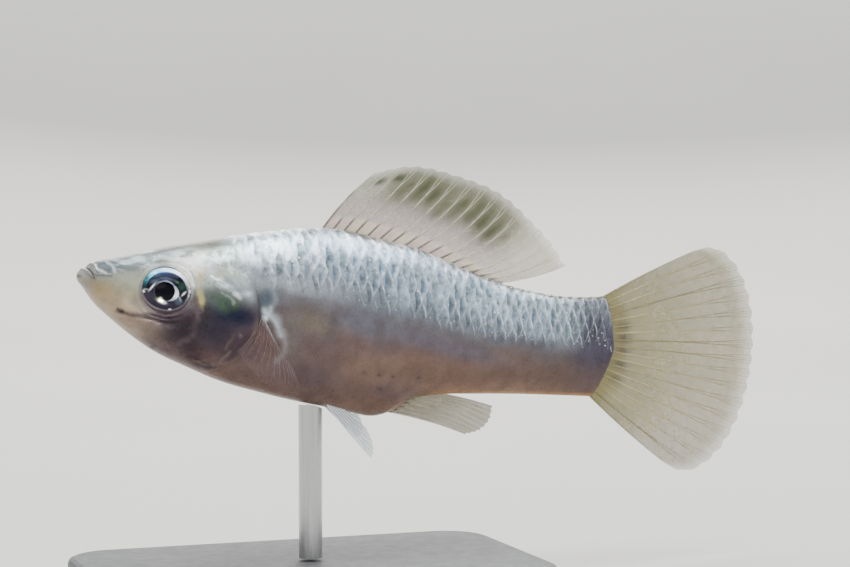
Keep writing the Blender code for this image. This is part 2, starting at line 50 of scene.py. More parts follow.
STANDARD_LENGTH = 0.060
NOSE_UP_DEGREES = 8.5
NOSE_UP = math.radians(NOSE_UP_DEGREES)
BEND_START = 0.32
BEND_RATE = 0.156
AXIS_HEIGHT = 0.0300
ROD_STATION = 0.400
TAIL_ARC_START, TAIL_ARC_DEPTH = 0.972, 0.028
SNOUT_ARC = 0.006
# station, back, belly, half width, height of the widest point, boxiness above and below
SECTIONS = np.array([
    (0.000, 0.0035, -0.0100, 0.014, -0.003, 2.2, 2.2),
    (0.012, 0.0100, -0.0200, 0.027, -0.004, 2.3, 2.2),
    (0.022, 0.0190, -0.0310, 0.033, -0.005, 2.4, 2.2),
    (0.032, 0.0250, -0.0415, 0.038, -0.006, 2.5, 2.2),
    (0.060, 0.034, -0.062, 0.047, -0.010, 2.6, 2.2),
    (0.100, 0.048, -0.087, 0.057, -0.014, 2.7, 2.2),
    (0.150, 0.066, -0.112, 0.066, -0.018, 2.6, 2.1),
    (0.200, 0.080, -0.128, 0.072, -0.022, 2.4, 2.1),
    (0.260, 0.099, -0.145, 0.077, -0.026, 2.2, 2.1),
    (0.330, 0.116, -0.156, 0.079, -0.028, 2.1, 2.1),
    (0.400, 0.130, -0.164, 0.077, -0.028, 2.0, 2.1),
    (0.440, 0.1325, -0.167, 0.075, -0.027, 2.0, 2.1),
    (0.500, 0.127, -0.172, 0.070, -0.026, 2.0, 2.1),
    (0.540, 0.123, -0.174, 0.065, -0.024, 2.0, 2.0),
    (0.575, 0.119, -0.160, 0.060, -0.021, 2.0, 2.0),
    (0.605, 0.113, -0.138, 0.056, -0.018, 2.0, 2.0),
    (0.650, 0.102, -0.126, 0.051, -0.016, 2.0, 2.0),
    (0.730, 0.084, -0.116, 0.043, -0.015, 2.0, 2.0),
    (0.800, 0.0755, -0.109, 0.036, -0.014, 2.0, 2.0),
    (0.880, 0.073, -0.103, 0.027, -0.012, 2.0, 2.0),
    (0.940, 0.079, -0.099, 0.018, -0.010, 2.2, 2.2),
    (0.972, 0.084, -0.097, 0.011, -0.008, 2.6, 2.6),
])
GILL_EDGE = [
    (0.262, 0.150), (0.258, 0.075), (0.262, 0.040), (0.281, 0.012), (0.290, -0.020),
    (0.290, -0.055), (0.278, -0.090), (0.252, -0.118), (0.222, -0.138), (0.196, -0.170),
]
GILL_RISE, GILL_BAND = 0.0060, 0.070
MOUTH_LINE = [(-0.020, 0.038), (0.0125, 0.0130), (0.0178, 0.0050), (0.0228, -0.0035)]
LIP_RADIUS, LIP_HALF_WIDTH = 0.0050, 0.034
EYE_CENTRE = (0.137, -0.006)
EYE_RADII = (0.0465, 0.0245, 0.0395)
EYE_PROUD = 0.0120
EYE_SEEN = (0.0412, 0.0388)
EYE_FORWARD = math.radians(9)
EYE_UP = math.radians(6)
# station, and share of the way up from the flank to the crown
NOSTRILS = ((0.058, 0.62), (0.079, 0.60))
NOSTRIL_RADIUS = 0.0042


def smooth_curve(stations, values):
    slopes = np.gradient(values, stations)

    def at(s):
        s = np.clip(s, stations[0], stations[-1])
        i = np.clip(np.searchsorted(stations, s, side="right") - 1, 0, len(stations) - 2)
        width = stations[i + 1] - stations[i]
        t = (s - stations[i]) / width
        return (
            (2 * t**3 - 3 * t**2 + 1) * values[i]
            + (t**3 - 2 * t**2 + t) * width * slopes[i]
            + (3 * t**2 - 2 * t**3) * values[i + 1]
            + (t**3 - t**2) * width * slopes[i + 1]
        )

    return at


PROFILE = [smooth_curve(SECTIONS[:, 0], SECTIONS[:, column]) for column in range(1, 7)]


def smoothstep(t):
    t = np.clip(t, 0, 1)
    return t * t * (3 - 2 * t)


def ease(value, low, high):
    """0 up to low and 1 from high on, smooth between; low may also be the greater of the two."""
    return smoothstep((value - low) / (high - low))


def bell(value, middle, width):
    return np.exp(-(((value - middle) / width) ** 2))


def between(low, high, share):
    return low + (high - low) * share


def full_turn(count):
    return np.linspace(0, 2 * math.pi, count, endpoint=False)


def grid(a, b):
    return np.meshgrid(a, b, indexing="ij")


def section(s):
    """back, belly, half width, widest height and the two boxiness values at stations s."""
    back, belly, half, widest, top, below = (column(s) for column in PROFILE)
    tail = np.sqrt(np.clip(1 - (s - TAIL_ARC_START) / TAIL_ARC_DEPTH, 1e-4, 1))
    snout = np.sqrt(np.clip(1 - (1 - np.minimum(s / SNOUT_ARC, 1)) ** 2, 0.02, 1))
    share = tail * snout
    back, belly = between(widest, back, share), between(widest, belly, share)
    return back, belly, half * snout, widest, top, below


def hull(s, angle):
    """Points on the plain body; the angle runs from 0 at the right flank up over the back."""
    s, angle = np.broadcast_arrays(np.asarray(s, float), np.asarray(angle, float))
    back, belly, half, widest, top, below = section(s)
    c, d = np.cos(angle), np.sin(angle)
    power = 2 / np.where(d > 0, top, below)
    height = np.where(d > 0, back - widest, widest - belly)
    y = np.sign(c) * np.abs(c) ** power * half
    z = widest + np.sign(d) * np.abs(d) ** power * height
    return np.stack([s, y, z], axis=-1)


def unit(vectors):
    return vectors / np.maximum(np.linalg.norm(vectors, axis=-1, keepdims=True), 1e-12)


def hull_normal(s, angle, step=1e-3):
    along = hull(s + step, angle) - hull(s - step, angle)
    around = hull(s, angle + step) - hull(s, angle - step)
    return unit(np.cross(around, along))


def flank_y(s, z):
    """How far out the plain body reaches at station s and height z."""
    back, belly, half, widest, top, below = section(s)
    boxy = np.where(z > widest, top, below)
    height = np.where(z > widest, back - widest, widest - belly)
    return half * np.maximum(0.0, 1 - (np.abs(z - widest) / height) ** boxy) ** (1 / boxy)


def distances(points):
    """How far along a line each of its points lies."""
    return np.concatenate([[0], np.cumsum(np.linalg.norm(np.diff(points, axis=0), axis=1))])


def smooth_line(points, count):
    points = np.asarray(points, float)
    steps = distances(points)
    at = np.linspace(0, steps[-1], count)
    return np.column_stack([smooth_curve(steps, points[:, k])(at) for k in range(points.shape[1])])


GILL_LINE = smooth_line(GILL_EDGE, 80)[::-1]
MOUTH_PATH = smooth_line(MOUTH_LINE, 60)


def gill_station(z):
    return np.interp(z, GILL_LINE[:, 1], GILL_LINE[:, 0])


def bend_tables(steps=400, reach=1.5):
    along = np.linspace(0, reach, steps)
    heading = np.arctan(np.where(along > BEND_START, 2 * BEND_RATE * (along - BEND_START), 0.0))
    x, y = (
        np.concatenate([[0], np.cumsum((turn[1:] + turn[:-1]) / 2) * along[1]])
        for turn in (np.cos(heading), np.sin(heading))
    )
    return along, x, y, heading


ALONG, LINE_X, LINE_Y, HEADING = bend_tables()


def place(points):
    """Fish frame to world frame, for an array of any shape that ends in 3."""
    p = np.asarray(points, float)
    inside = np.maximum(p[..., 0], 0)
    before = np.minimum(p[..., 0], 0)
    heading = np.interp(inside, ALONG, HEADING)
    x = np.interp(inside, ALONG, LINE_X) + before - p[..., 1] * np.sin(heading) - ROD_STATION
    y = np.interp(inside, ALONG, LINE_Y) + p[..., 1] * np.cos(heading)
    z = p[..., 2]
    c, d = math.cos(NOSE_UP), math.sin(NOSE_UP)
    return np.stack([c * x + d * z, y, c * z - d * x], axis=-1) * STANDARD_LENGTH + (0, 0, AXIS_HEIGHT)


# Meshes

ATTRIBUTE_KINDS = {1: ("FLOAT", "value"), 3: ("FLOAT_VECTOR", "vector"), 4: ("FLOAT_COLOR", "color")}


def shown(name, data):
    obj = bpy.data.objects.new(name, data)
    bpy.context.scene.collection.objects.link(obj)
    return obj


def piece(name, points, faces, material, attributes, uv, stands_for=(), *, sharp):
    """A mesh object in the world frame from points in the fish frame, riding on the root body."""
    mesh = bpy.data.meshes.new(name)
    mesh.from_pydata(place(points).tolist(), [], faces)
    for key, values in attributes.items():
        values = np.asarray(values, np.float32)
        width = 1 if values.ndim == 1 else values.shape[1]
        kind, field = ATTRIBUTE_KINDS[width]
        mesh.attributes.new(key, kind, "POINT").data.foreach_set(field, values.ravel())
    loops = loop_points(mesh)
    corners = uv if len(uv) == len(loops) else np.asarray(uv)[loops]
    mesh.uv_layers.new(name="OFBake").data.foreach_set("uv", np.asarray(corners, np.float32).ravel())
    mesh.materials.append(material)
    mesh.shade_smooth()
    mesh.set_sharp_from_angle(angle=math.radians(sharp))
    obj = shown(name, mesh)
    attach(obj, "root")
    if stands_for:
        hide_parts(*stands_for)
    return obj


def loop_points(mesh):
    loops = np.empty(len(mesh.loops), np.int32)
    mesh.loops.foreach_get("vertex_index", loops)
    return loops


def opaque(colour):
    """Linear colours with a fourth channel of 1."""
    flat = colour.reshape(-1, 3)
    return np.column_stack([flat, np.ones(len(flat))])


def grid_faces(rows, columns, start=0, flip=False, closed=False):
    """Quads over a rows x columns block of points; closed joins the last column to the first."""
    i, j = grid(np.arange(rows - 1), np.arange(columns if closed else columns - 1))
    k = (j + 1) % columns
    quads = np.stack([i * columns + j, i * columns + k, (i + 1) * columns + k, (i + 1) * columns + j], -1)
    quads = quads.reshape(-1, 4) + start
    return (quads[:, ::-1] if flip else quads).tolist()


def capped_grid(rows, columns, flip=False):
    """A grid that is closed all round, with one face over each end."""
    low = list(range(columns))
    high = [(rows - 1) * columns + j for j in low]
    caps = [low, high[::-1]] if flip else [low[::-1], high]
    return grid_faces(rows, columns, flip=flip, closed=True) + caps


def rim_pairs(rows, columns):
    """The edges round a rows x columns block of points, as pairs of points."""
    rim = list(range(columns)) + [i * columns + columns - 1 for i in range(1, rows)]
    rim += [(rows - 1) * columns + j for j in reversed(range(columns - 1))]
    rim += [i * columns for i in reversed(range(1, rows - 1))]
    return list(zip(rim, rim[1:] + rim[:1]))


def edit_mesh(obj, change):
    """Runs a bmesh change on the object's mesh."""
    shape = bmesh.new()
    shape.from_mesh(obj.data)
    change(shape)
    shape.to_mesh(obj.data)
    shape.free()


def face_out(obj):
    edit_mesh(obj, lambda shape: bmesh.ops.recalc_face_normals(shape, faces=shape.faces))


def closed_mesh(name, points, faces):
    """A helper solid in the fish frame, its faces turned outwards."""
    mesh = bpy.data.meshes.new(name)
    mesh.from_pydata(np.asarray(points).reshape(-1, 3).tolist(), [], faces)
    obj = shown(name, mesh)
    face_out(obj)
    return obj


def combine(obj, other, operation):
    """A Boolean with another closed mesh, applied; the other mesh goes."""
    cut = obj.modifiers.new("cut", "BOOLEAN")
    cut.operation = operation
    cut.solver = "MANIFOLD"
    cut.object = other
    bpy.context.view_layer.update()
    made = bpy.data.meshes.new_from_object(obj.evaluated_get(bpy.context.evaluated_depsgraph_get()))
    obj.modifiers.clear()
    obj.data = made
    bpy.data.objects.remove(other)


def tube(line, radii, normals, sides):
    """A closed tube along a line of points."""
    ahead = unit(np.gradient(line, axis=0))
    across = unit(np.cross(ahead, normals))
    up = np.cross(across, ahead)
    turn = full_turn(sides)[None, :, None]
    out = np.cos(turn) * across[:, None] + np.sin(turn) * up[:, None]
    rings = line[:, None] + radii[:, None, None] * out
    return rings.reshape(-1, 3), capped_grid(len(line), sides)


# Shader nodes

class Look:
    """A Principled material and the nodes that feed it."""

    def __init__(self, name, **sockets):
        self.material = bpy.data.materials.new(name)
        self.material.use_nodes = True
        self.tree = self.material.node_tree
        self.principled = self.tree.nodes["Principled BSDF"]
        self.set(**sockets)

    def feed(self, node, key, value):
        """Links a socket to an input, or sets the input to a plain value."""
        if isinstance(value, bpy.types.NodeSocket):
            self.tree.links.new(value, node.inputs[key])
        else:
            node.inputs[key].default_value = value

    def set(self, **sockets):
        """Links or sets inputs of the Principled node; an underscore stands for a space."""
        for key, value in sockets.items():
            self.feed(self.principled, key.replace("_", " "), value)

    def node(self, kind, inputs=None, output=0, **settings):
        """One output of a new node, with its settings and its inputs linked or set."""
        made = self.tree.nodes.new("ShaderNode" + kind)
        for key, value in settings.items():
            setattr(made, key, value)
        for key, value in (inputs or {}).items():
            self.feed(made, key, value)
        return made.outputs[output]

    def read(self, name, output="Color"):
        return self.node("Attribute", output=output, attribute_name=name)

    def math(self, operation, a, b=0.0, c=0.0, clamp=False):
        return self.node("Math", {0: a, 1: b, 2: c}, operation=operation, use_clamp=clamp)

    def times(self, a, b, clamp=False):
        return self.math("MULTIPLY", a, b, clamp=clamp)

    def mix(self, factor, a, b, blend="MIX"):
        return self.node("Mix", {0: factor, 6: a, 7: b}, 2, data_type="RGBA", blend_type=blend)

    def spread(self, value, low, high, to_low=0.0, to_high=1.0):
        """value from low..high to to_low..to_high, smooth at both ends."""
        inputs = {"Value": value, "From Min": low, "From Max": high, "To Min": to_low, "To Max": to_high}
        return self.node("MapRange", inputs, interpolation_type="SMOOTHSTEP")

    def noise(self, where, scale, detail, roughness=0.5):
        inputs = {"Vector": where, "Scale": scale, "Detail": detail, "Roughness": roughness}
        return self.node("TexNoise", inputs)

    def dots(self, where, scale, low, high):
        """1 at the middles of scattered cells, 0 away from them."""
        return self.spread(self.node("TexVoronoi", {"Vector": where, "Scale": scale}, "Distance"), low, high)

    def shaded(self, colour, value, low, high):
        """colour times a factor that follows value from low to high."""
        factor = self.spread(value, 0.25, 0.75, low, high)
        return self.mix(1.0, colour, self.node("CombineColor", {0: factor, 1: factor, 2: factor}), "MULTIPLY")

    def bump(self, height, strength, distance):
        self.set(Normal=self.node("Bump", {"Height": height, "Strength": strength, "Distance": distance}))


# The coat's colours: each ramp goes from low to high, or from the back down

FLANK = [
    (-1.00, (140, 114, 94)), (-0.88, (114, 92, 80)), (-0.60, (98, 79, 72)), (-0.35, (95, 80, 76)),
    (-0.15, (89, 81, 83)), (0.02, (97, 95, 100)), (0.20, (118, 127, 139)), (0.38, (155, 171, 186)),
    (0.58, (180, 199, 215)), (0.80, (200, 220, 233)), (0.94, (206, 220, 230)), (1.00, (160, 164, 156)),
]
FACE_FRONT = [
    (0.0, (98, 106, 104)), (0.12, (114, 122, 124)), (0.36, (140, 142, 132)),
    (0.56, (146, 135, 110)), (0.80, (160, 142, 120)), (1.0, (164, 148, 132)),
]
FACE_REAR = [
    (0.0, (96, 98, 84)), (0.08, (138, 144, 136)), (0.20, (178, 178, 168)), (0.34, (156, 168, 168)),
    (0.44, (100, 104, 104)), (0.56, (72, 60, 68)), (0.76, (70, 56, 62)), (0.90, (108, 92, 90)),
    (1.0, (118, 102, 98)),
]
# The lower limit of the silver zone: station, height
SILVER_LIMIT = np.array([
    (0.291, 0.015), (0.356, 0.012), (0.445, 0.006), (0.539, -0.008),
    (0.639, -0.019), (0.743, -0.025), (0.944, -0.018),
])

# Lines on the head and behind it, as points (station, height)
PREOPERCLE = [(0.265, -0.062), (0.261, -0.083), (0.247, -0.107), (0.230, -0.117), (0.205, -0.116)]
PREOPERCLE_FRONT = [(0.189, -0.028), (0.188, -0.050), (0.187, -0.072), (0.175, -0.093)]
JAW_LINE = [
    (0.069, -0.050), (0.089, -0.054), (0.113, -0.0525), (0.143, -0.055), (0.172, -0.047), (0.1905, -0.038)
]
OPERCLE_TOP = [
    (0.206, 0.021), (0.218, 0.0165), (0.231, 0.0125), (0.2415, 0.0065), (0.2477, 0.0026), (0.256, -0.0020)
]
OPERCLE_BACK = [(0.2520, -0.0005), (0.2600, 0.0045), (0.2676, 0.0058), (0.2790, 0.0110)]
GILL_CURL = [(0.295, 0.027), (0.310, 0.016), (0.316, -0.001), (0.306, -0.016)]
FIN_ROOT = [(0.300, -0.018), (0.314, -0.026), (0.327, -0.040), (0.334, -0.053)]
FIN_ARC = [(0.335, -0.048), (0.3415, -0.064), (0.3425, -0.086), (0.335, -0.098)]
EYE_FOLD = [(0.166, 0.030), (0.173, 0.020), (0.178, 0.006)]
LOWER_RIM = [(0.0085, 0.0095), (0.0137, 0.0026), (0.0214, -0.0029)]
UPPER_FLAP = [(0.0215, 0.0216), (0.0190, 0.0112), (0.0221, 0.0042), (0.0344, 0.0045), (0.0471, 0.0050)]
FLAP_GROOVE = [(0.0262, 0.0230), (0.0254, 0.0130), (0.0315, 0.0114), (0.0392, 0.0079)]
SNOUT_FOLD = [(0.0420, 0.0250), (0.0493, 0.0200), (0.0519, 0.0124)]

# Tables of paint, laid on in their order: tint, strength, then middle (station, height), radii and tilt
FLANK_PATCHES = [
    ((118, 108, 92), 0.60, (0.395, -0.022), (0.045, 0.022), 0),
    ((98, 98, 110), 0.65, (0.480, -0.020), (0.090, 0.020), 8),
    ((90, 89, 102), 0.60, (0.640, -0.040), (0.110, 0.018), 6),
    ((84, 72, 74), 0.65, (0.380, -0.112), (0.075, 0.020), 6),
    ((122, 98, 84), 0.50, (0.500, -0.092), (0.060, 0.026), 0),
    ((114, 90, 80), 0.45, (0.600, -0.075), (0.060, 0.030), 0),
    ((92, 78, 80), 0.50, (0.560, -0.125), (0.050, 0.016), 0),
]
BARS = ((0.419, -0.028), (0.505, -0.033))
BELLY_SPOTS = ((0.489, -0.100), (0.517, -0.101), (0.545, -0.101), (0.597, -0.098), (0.526, -0.124))
FLANK_MARKS = [((84, 76, 80), 0.55, at, (0.012, 0.034)) for at in BARS]
for at in BELLY_SPOTS:
    FLANK_MARKS += [((84, 72, 74), 0.25, at, (0.009, 0.011)), ((52, 40, 40), 0.70, at, (0.0036, 0.0032))]
FLANK_MARKS += [((74, 72, 80), 0.50, (0.722 + 0.022 * n, -0.014), (0.007, 0.008)) for n in range(7)]
FACE = [
    ((146, 156, 160), 0.80, (0.108, 0.036), (0.030, 0.013), -20),
    ((186, 198, 200), 0.85, (0.146, 0.050), (0.030, 0.011), -18),
    ((146, 148, 126), 0.55, (0.086, -0.004), (0.030, 0.022), 0),
    ((100, 94, 88), 0.80, (0.102, -0.030), (0.020, 0.014), 0),
    ((126, 106, 92), 0.60, (0.090, -0.062), (0.030, 0.012), 12),
    ((96, 84, 78), 0.80, (0.126, -0.077), (0.032, 0.011), 12),
    # The next two rows darken the cheek below the eye: its dark colour and painted shade together
    ((28, 20, 27), 0.94, (0.168, -0.064), (0.030, 0.025), 0),
    ((24, 17, 23), 0.96, (0.152, -0.0515), (0.048, 0.0095), -2),
    ((52, 40, 49), 0.92, (0.195, -0.095), (0.040, 0.017), 22),
    ((90, 76, 76), 0.80, (0.148, -0.101), (0.034, 0.011), 24),
    ((78, 66, 74), 0.75, (0.276, -0.045), (0.022, 0.028), 10),
    ((20, 26, 50), 0.97, (0.248, -0.032), (0.046, 0.019), 0),
    ((44, 40, 54), 0.86, (0.226, -0.060), (0.034, 0.024), 20),
    ((58, 45, 52), 0.88, (0.284, -0.078), (0.026, 0.024), 20),
    ((60, 48, 55), 0.88, (0.266, -0.104), (0.038, 0.014), 22),
    ((80, 66, 70), 0.80, (0.230, -0.121), (0.042, 0.010), 16),
    ((62, 49, 53), 0.85, (0.207, -0.111), (0.030, 0.009), 18),
    ((92, 72, 70), 0.55, (0.226, -0.103), (0.026, 0.008), 18),
    ((46, 42, 44), 0.75, (0.198, -0.040), (0.010, 0.026), 0),
    ((70, 78, 72), 0.80, (0.214, -0.002), (0.022, 0.016), 0),
    ((58, 78, 66), 0.80, (0.228, -0.016), (0.016, 0.013), 0),
    ((236, 232, 220), 0.90, (0.178, 0.036), (0.034, 0.022), -8),
    ((242, 246, 244), 0.92, (0.197, 0.045), (0.024, 0.013), -15),
    ((118, 112, 108), 0.70, (0.187, 0.003), (0.008, 0.020), 0),
    ((80, 70, 66), 0.85, (0.184, -0.020), (0.007, 0.016), 0),
    ((244, 240, 252), 0.92, (0.207, 0.035), (0.014, 0.008), 0),
    ((190, 204, 170), 0.55, (0.245, 0.038), (0.022, 0.014), 0),
    ((150, 164, 168), 0.65, (0.232, 0.020), (0.020, 0.008), 24),
    ((140, 154, 162), 0.80, (0.262, 0.012), (0.030, 0.012), 20),
    ((168, 144, 92), 0.45, (0.036, -0.022), (0.014, 0.014), 0),
    ((74, 82, 90), 0.85, (0.046, 0.018), (0.030, 0.012), -14),
    ((138, 126, 106), 0.45, (0.052, -0.026), (0.030, 0.018), 10),
]
HEAD_SPOTS = [
    ((40, 32, 30), 0.90, (s, z), (size, size * 0.85))
    for s, z, size in (
        (0.073, -0.051, 0.0040), (0.066, -0.047, 0.0022), (0.136, -0.103, 0.0036), (0.050, -0.058, 0.0016)
    )
]
# A row of paint may also be a line, with its points and its width
BEHIND_GILL = [
    ((142, 154, 158), 0.70, (0.288, 0.026), (0.020, 0.016)),
    ((76, 88, 98), 0.85, (0.302, 0.001), (0.016, 0.020)),
    ((54, 58, 72), 0.80, (0.291, -0.020), (0.010, 0.014)),
    ((94, 73, 69), 0.75, (0.310, -0.076), (0.028, 0.028)),
    ((104, 100, 97), 0.60, (0.352, -0.050), (0.020, 0.040)),
    ((148, 156, 164), 0.78, FIN_ROOT, 0.0068),
    ((74, 60, 66), 0.65, (0.286, -0.088), (0.024, 0.022)),
]
# Painted glints: small highlights on the gill cover, the nape and the fin's root: station, height, radius,
# strength
GLINTS = [
    ((244, 250, 252), amount, (s, z), (radius, 0.8 * radius))
    for s, z, radius, amount in (
        (0.2477, 0.0026, 0.0044, 1.00), (0.2457, -0.0121, 0.0026, 0.45), (0.2310, 0.0129, 0.0034, 0.70),
        (0.2541, -0.0012, 0.0030, 0.80), (0.2676, 0.0058, 0.0034, 0.60), (0.3026, -0.0300, 0.0048, 0.95),
        (0.3101, -0.0141, 0.0032, 0.55), (0.2189, 0.0500, 0.0050, 0.80), (0.2357, 0.0740, 0.0044, 0.75),
        (0.2222, 0.0247, 0.0036, 0.60), (0.2053, 0.0341, 0.0060, 0.85), (0.1900, 0.0470, 0.0040, 0.60),
        (0.2560, 0.0600, 0.0052, 0.70),
    )
]
# Farther off than any line on the fish
FAR = 9.0


def linear(colour):
    """An sRGB colour in 0..255 as linear light."""
    c = np.asarray(colour, float) / 255
    return np.where(c <= 0.04045, c / 12.92, ((c + 0.055) / 1.055) ** 2.4)


def plain(tint, like):
    """One tint at every point of an array."""
    return np.tile(linear(tint), (*like.shape, 1))


def ramp(at, stops):
    places = [stop[0] for stop in stops]
    colours = linear([stop[1] for stop in stops])
    return np.stack([np.interp(at, places, colours[:, k]) for k in range(3)], axis=-1)


def blob(s, z, centre, radii, tilt=0.0):
    """1 at the centre, falling smoothly to 0 past the radii; tilt raises its front end, in degrees."""
    a = math.radians(tilt)
    ds, dz = s - centre[0], z - centre[1]
    along, up = ds * math.cos(a) - dz * math.sin(a), ds * math.sin(a) + dz * math.cos(a)
    return np.exp(-((along / radii[0]) ** 2 + (up / radii[1]) ** 2) ** 1.4)


def stroke(s, z, points, width):
    """1 on a line through the points, falling smoothly to 0 past the width."""
    line = smooth_line(points, 40)
    near = np.full(np.shape(s), FAR)
    for a, b in zip(line[:-1], line[1:]):
        run = b - a
        t = np.clip(((s - a[0]) * run[0] + (z - a[1]) * run[1]) / (run @ run), 0, 1)
        near = np.minimum(near, np.hypot(s - a[0] - t * run[0], z - a[1] - t * run[1]))
    return bell(near, 0, width)


def over(base, tint, amount):
    return between(base, linear(tint), np.clip(amount, 0, 1)[..., None])


def layered(colour, *layers):
    """Lays tints over a colour one after another, each by its amount."""
    for tint, amount in layers:
        colour = over(colour, tint, amount)
    return colour


def painted(colour, s, z, rows, share=1.0):
    """Lays a table of paint over a colour."""
    for tint, amount, *form in rows:
        mark = stroke if np.ndim(form[0]) == 2 else blob
        colour = over(colour, tint, amount * share * mark(s, z, *form))
    return colour


def cloud(s, z, size, seed):
    """Smooth noise from 0 to 1 over the side view, in patches of the given size."""
    table = np.random.default_rng(seed).random((256, 256))
    x, y = s / size + 40, z / size + 90
    i, j = np.floor(x).astype(int), np.floor(y).astype(int)
    a, b = smoothstep(x - i), smoothstep(y - j)
    low, high = ([table[(i + di) % 256, (j + dj) % 256] for dj in (0, 1)] for di in (0, 1))
    return between(between(*low, b), between(*high, b), a)


def clouds(s, z, size, seed):
    """Three sizes of cloud together."""
    broad, middling = cloud(s, z, size, seed), cloud(s, z, size / 2.1, seed + 1)
    return 0.5 * broad + 0.3 * middling + 0.2 * cloud(s, z, size / 4.3, seed + 2)


def zones(s, z):
    """How far up the silver zone (0..1) or down below it (0..-1) a point lies."""
    back, belly = section(s)[:2]
    limit = np.interp(s, SILVER_LIMIT[:, 0], SILVER_LIMIT[:, 1])
    up = np.clip((z - limit) / np.maximum(back - limit, 1e-3), 0, 1)
    down = np.clip((limit - z) / np.maximum(limit - belly, 1e-3), 0, 1)
    return up - down


def unrolled(s, z):
    """The height a point would have if the crown and the belly were rolled out flat beside the flank."""
    half, widest = section(s)[2:4]
    return z + 0.9 * np.tanh((z - widest) / 0.01) * np.maximum(half - flank_y(s, z), 0)


def coat(s, z):
    """Linear colour, silveriness and amount of dark speckle at a point of the coat."""
    v = unrolled(s, z)
    level = zones(s, z) + 0.16 * (clouds(s, v, 0.045, 3) - 0.5)
    back, belly = section(s)[:2]
    depth = np.clip((back - z) / np.maximum(back - belly, 1e-3), 0, 1)
    rear = ease(s, 0.78, 0.96)
    rosy = ease(level, 0.05, -0.15) * ease(s, 0.40, 0.50) * ease(s, 0.86, 0.76)
    shoulder = ease(s, 0.42, 0.28) * ease(level, 0.30, 0.60)
    broken = clouds(s, v, 0.016, 91)
    colour = layered(
        ramp(level, FLANK),
        ((98, 102, 108), 0.58 * rear * ease(level, 0.1, 0.4)),
        ((64, 58, 74), 0.88 * ease(s, 0.87, 0.94) * blob(s, z, (0.975, -0.005), (0.13, 0.085))),
        ((88, 72, 66), 0.45 * rear * ease(level, -0.15, -0.45)),
        ((94, 80, 82), 0.50 * ease(s, 0.60, 0.52) * ease(level, -0.05, -0.35)),
        ((150, 112, 92), 0.30 * rosy * clouds(s, v, 0.09, 15)),
        ((176, 184, 192), 0.62 * ease(s, 0.50, 0.34) * blob(level, level, (0.22, 0.22), (0.28, 0.28))),
        ((236, 250, 255), 0.55 * shoulder),
        ((246, 255, 255), 0.90 * shoulder * ease(broken, 0.50, 0.60)),
        ((146, 164, 172), 0.60 * shoulder * ease(broken, 0.44, 0.34)),
    )
    colour = painted(colour, s, z, FLANK_PATCHES, 0.5 + clouds(s, v, 0.04, 19))
    colour = painted(colour, s, z, FLANK_MARKS)
    behind_fins = ease(s, 0.62, 0.67)
    above = ease(s, 0.43, 0.47) * ease(depth, 0.03, 0.01) * (0.5 + 0.5 * behind_fins)
    under = behind_fins * ease(depth, 0.955, 0.985)
    colour = layered(colour, ((160, 118, 74), 0.75 * under), ((92, 88, 60), 0.8 * above))

    soft = 0.012 + 0.060 * ease(z, 0.015, 0.045)
    head = smoothstep((gill_station(z) + 0.4 * (soft - 0.012) - s) / soft)
    face, face_silver, face_speckle = head_coat(s, z, v, depth)
    colour = between(colour, face, head[..., None])
    silver = between(0.12 + 0.40 * ease(level, -0.10, 0.25), face_silver, head)
    speckle = between(0.10 + 0.8 * ease(level, 0.82, 1.0), face_speckle, head)

    # The bright shoulder patch behind the gill cover, at the root of the pectoral fin, and its arc
    behind = 1 - head
    ws = s + 0.005 * (cloud(s, z, 0.022, 5) - 0.5)
    wz = z + 0.005 * (cloud(s, z, 0.022, 6) - 0.5)
    streaks = ease(cloud(s, z * 2.2, 0.012, 7), 0.2, 0.6)
    colour = layered(
        painted(colour, ws, wz, BEHIND_GILL, behind),
        ((186, 196, 204), 0.55 * behind * stroke(s, z + 0.003, FIN_ROOT, 0.0026) * streaks),
        ((210, 222, 228), 0.80 * behind * blob(ws, wz, (0.306, -0.020), (0.010, 0.005), 30)),
        ((150, 160, 170), 0.45 * behind * stroke(ws, wz, GILL_CURL, 0.0050)),
        ((140, 134, 136), 0.60 * behind * stroke(s, z, FIN_ARC, 0.0050)),
    )
    return painted(colour, s, z, GLINTS), np.clip(silver, 0, 1), np.clip(speckle, 0, 1)


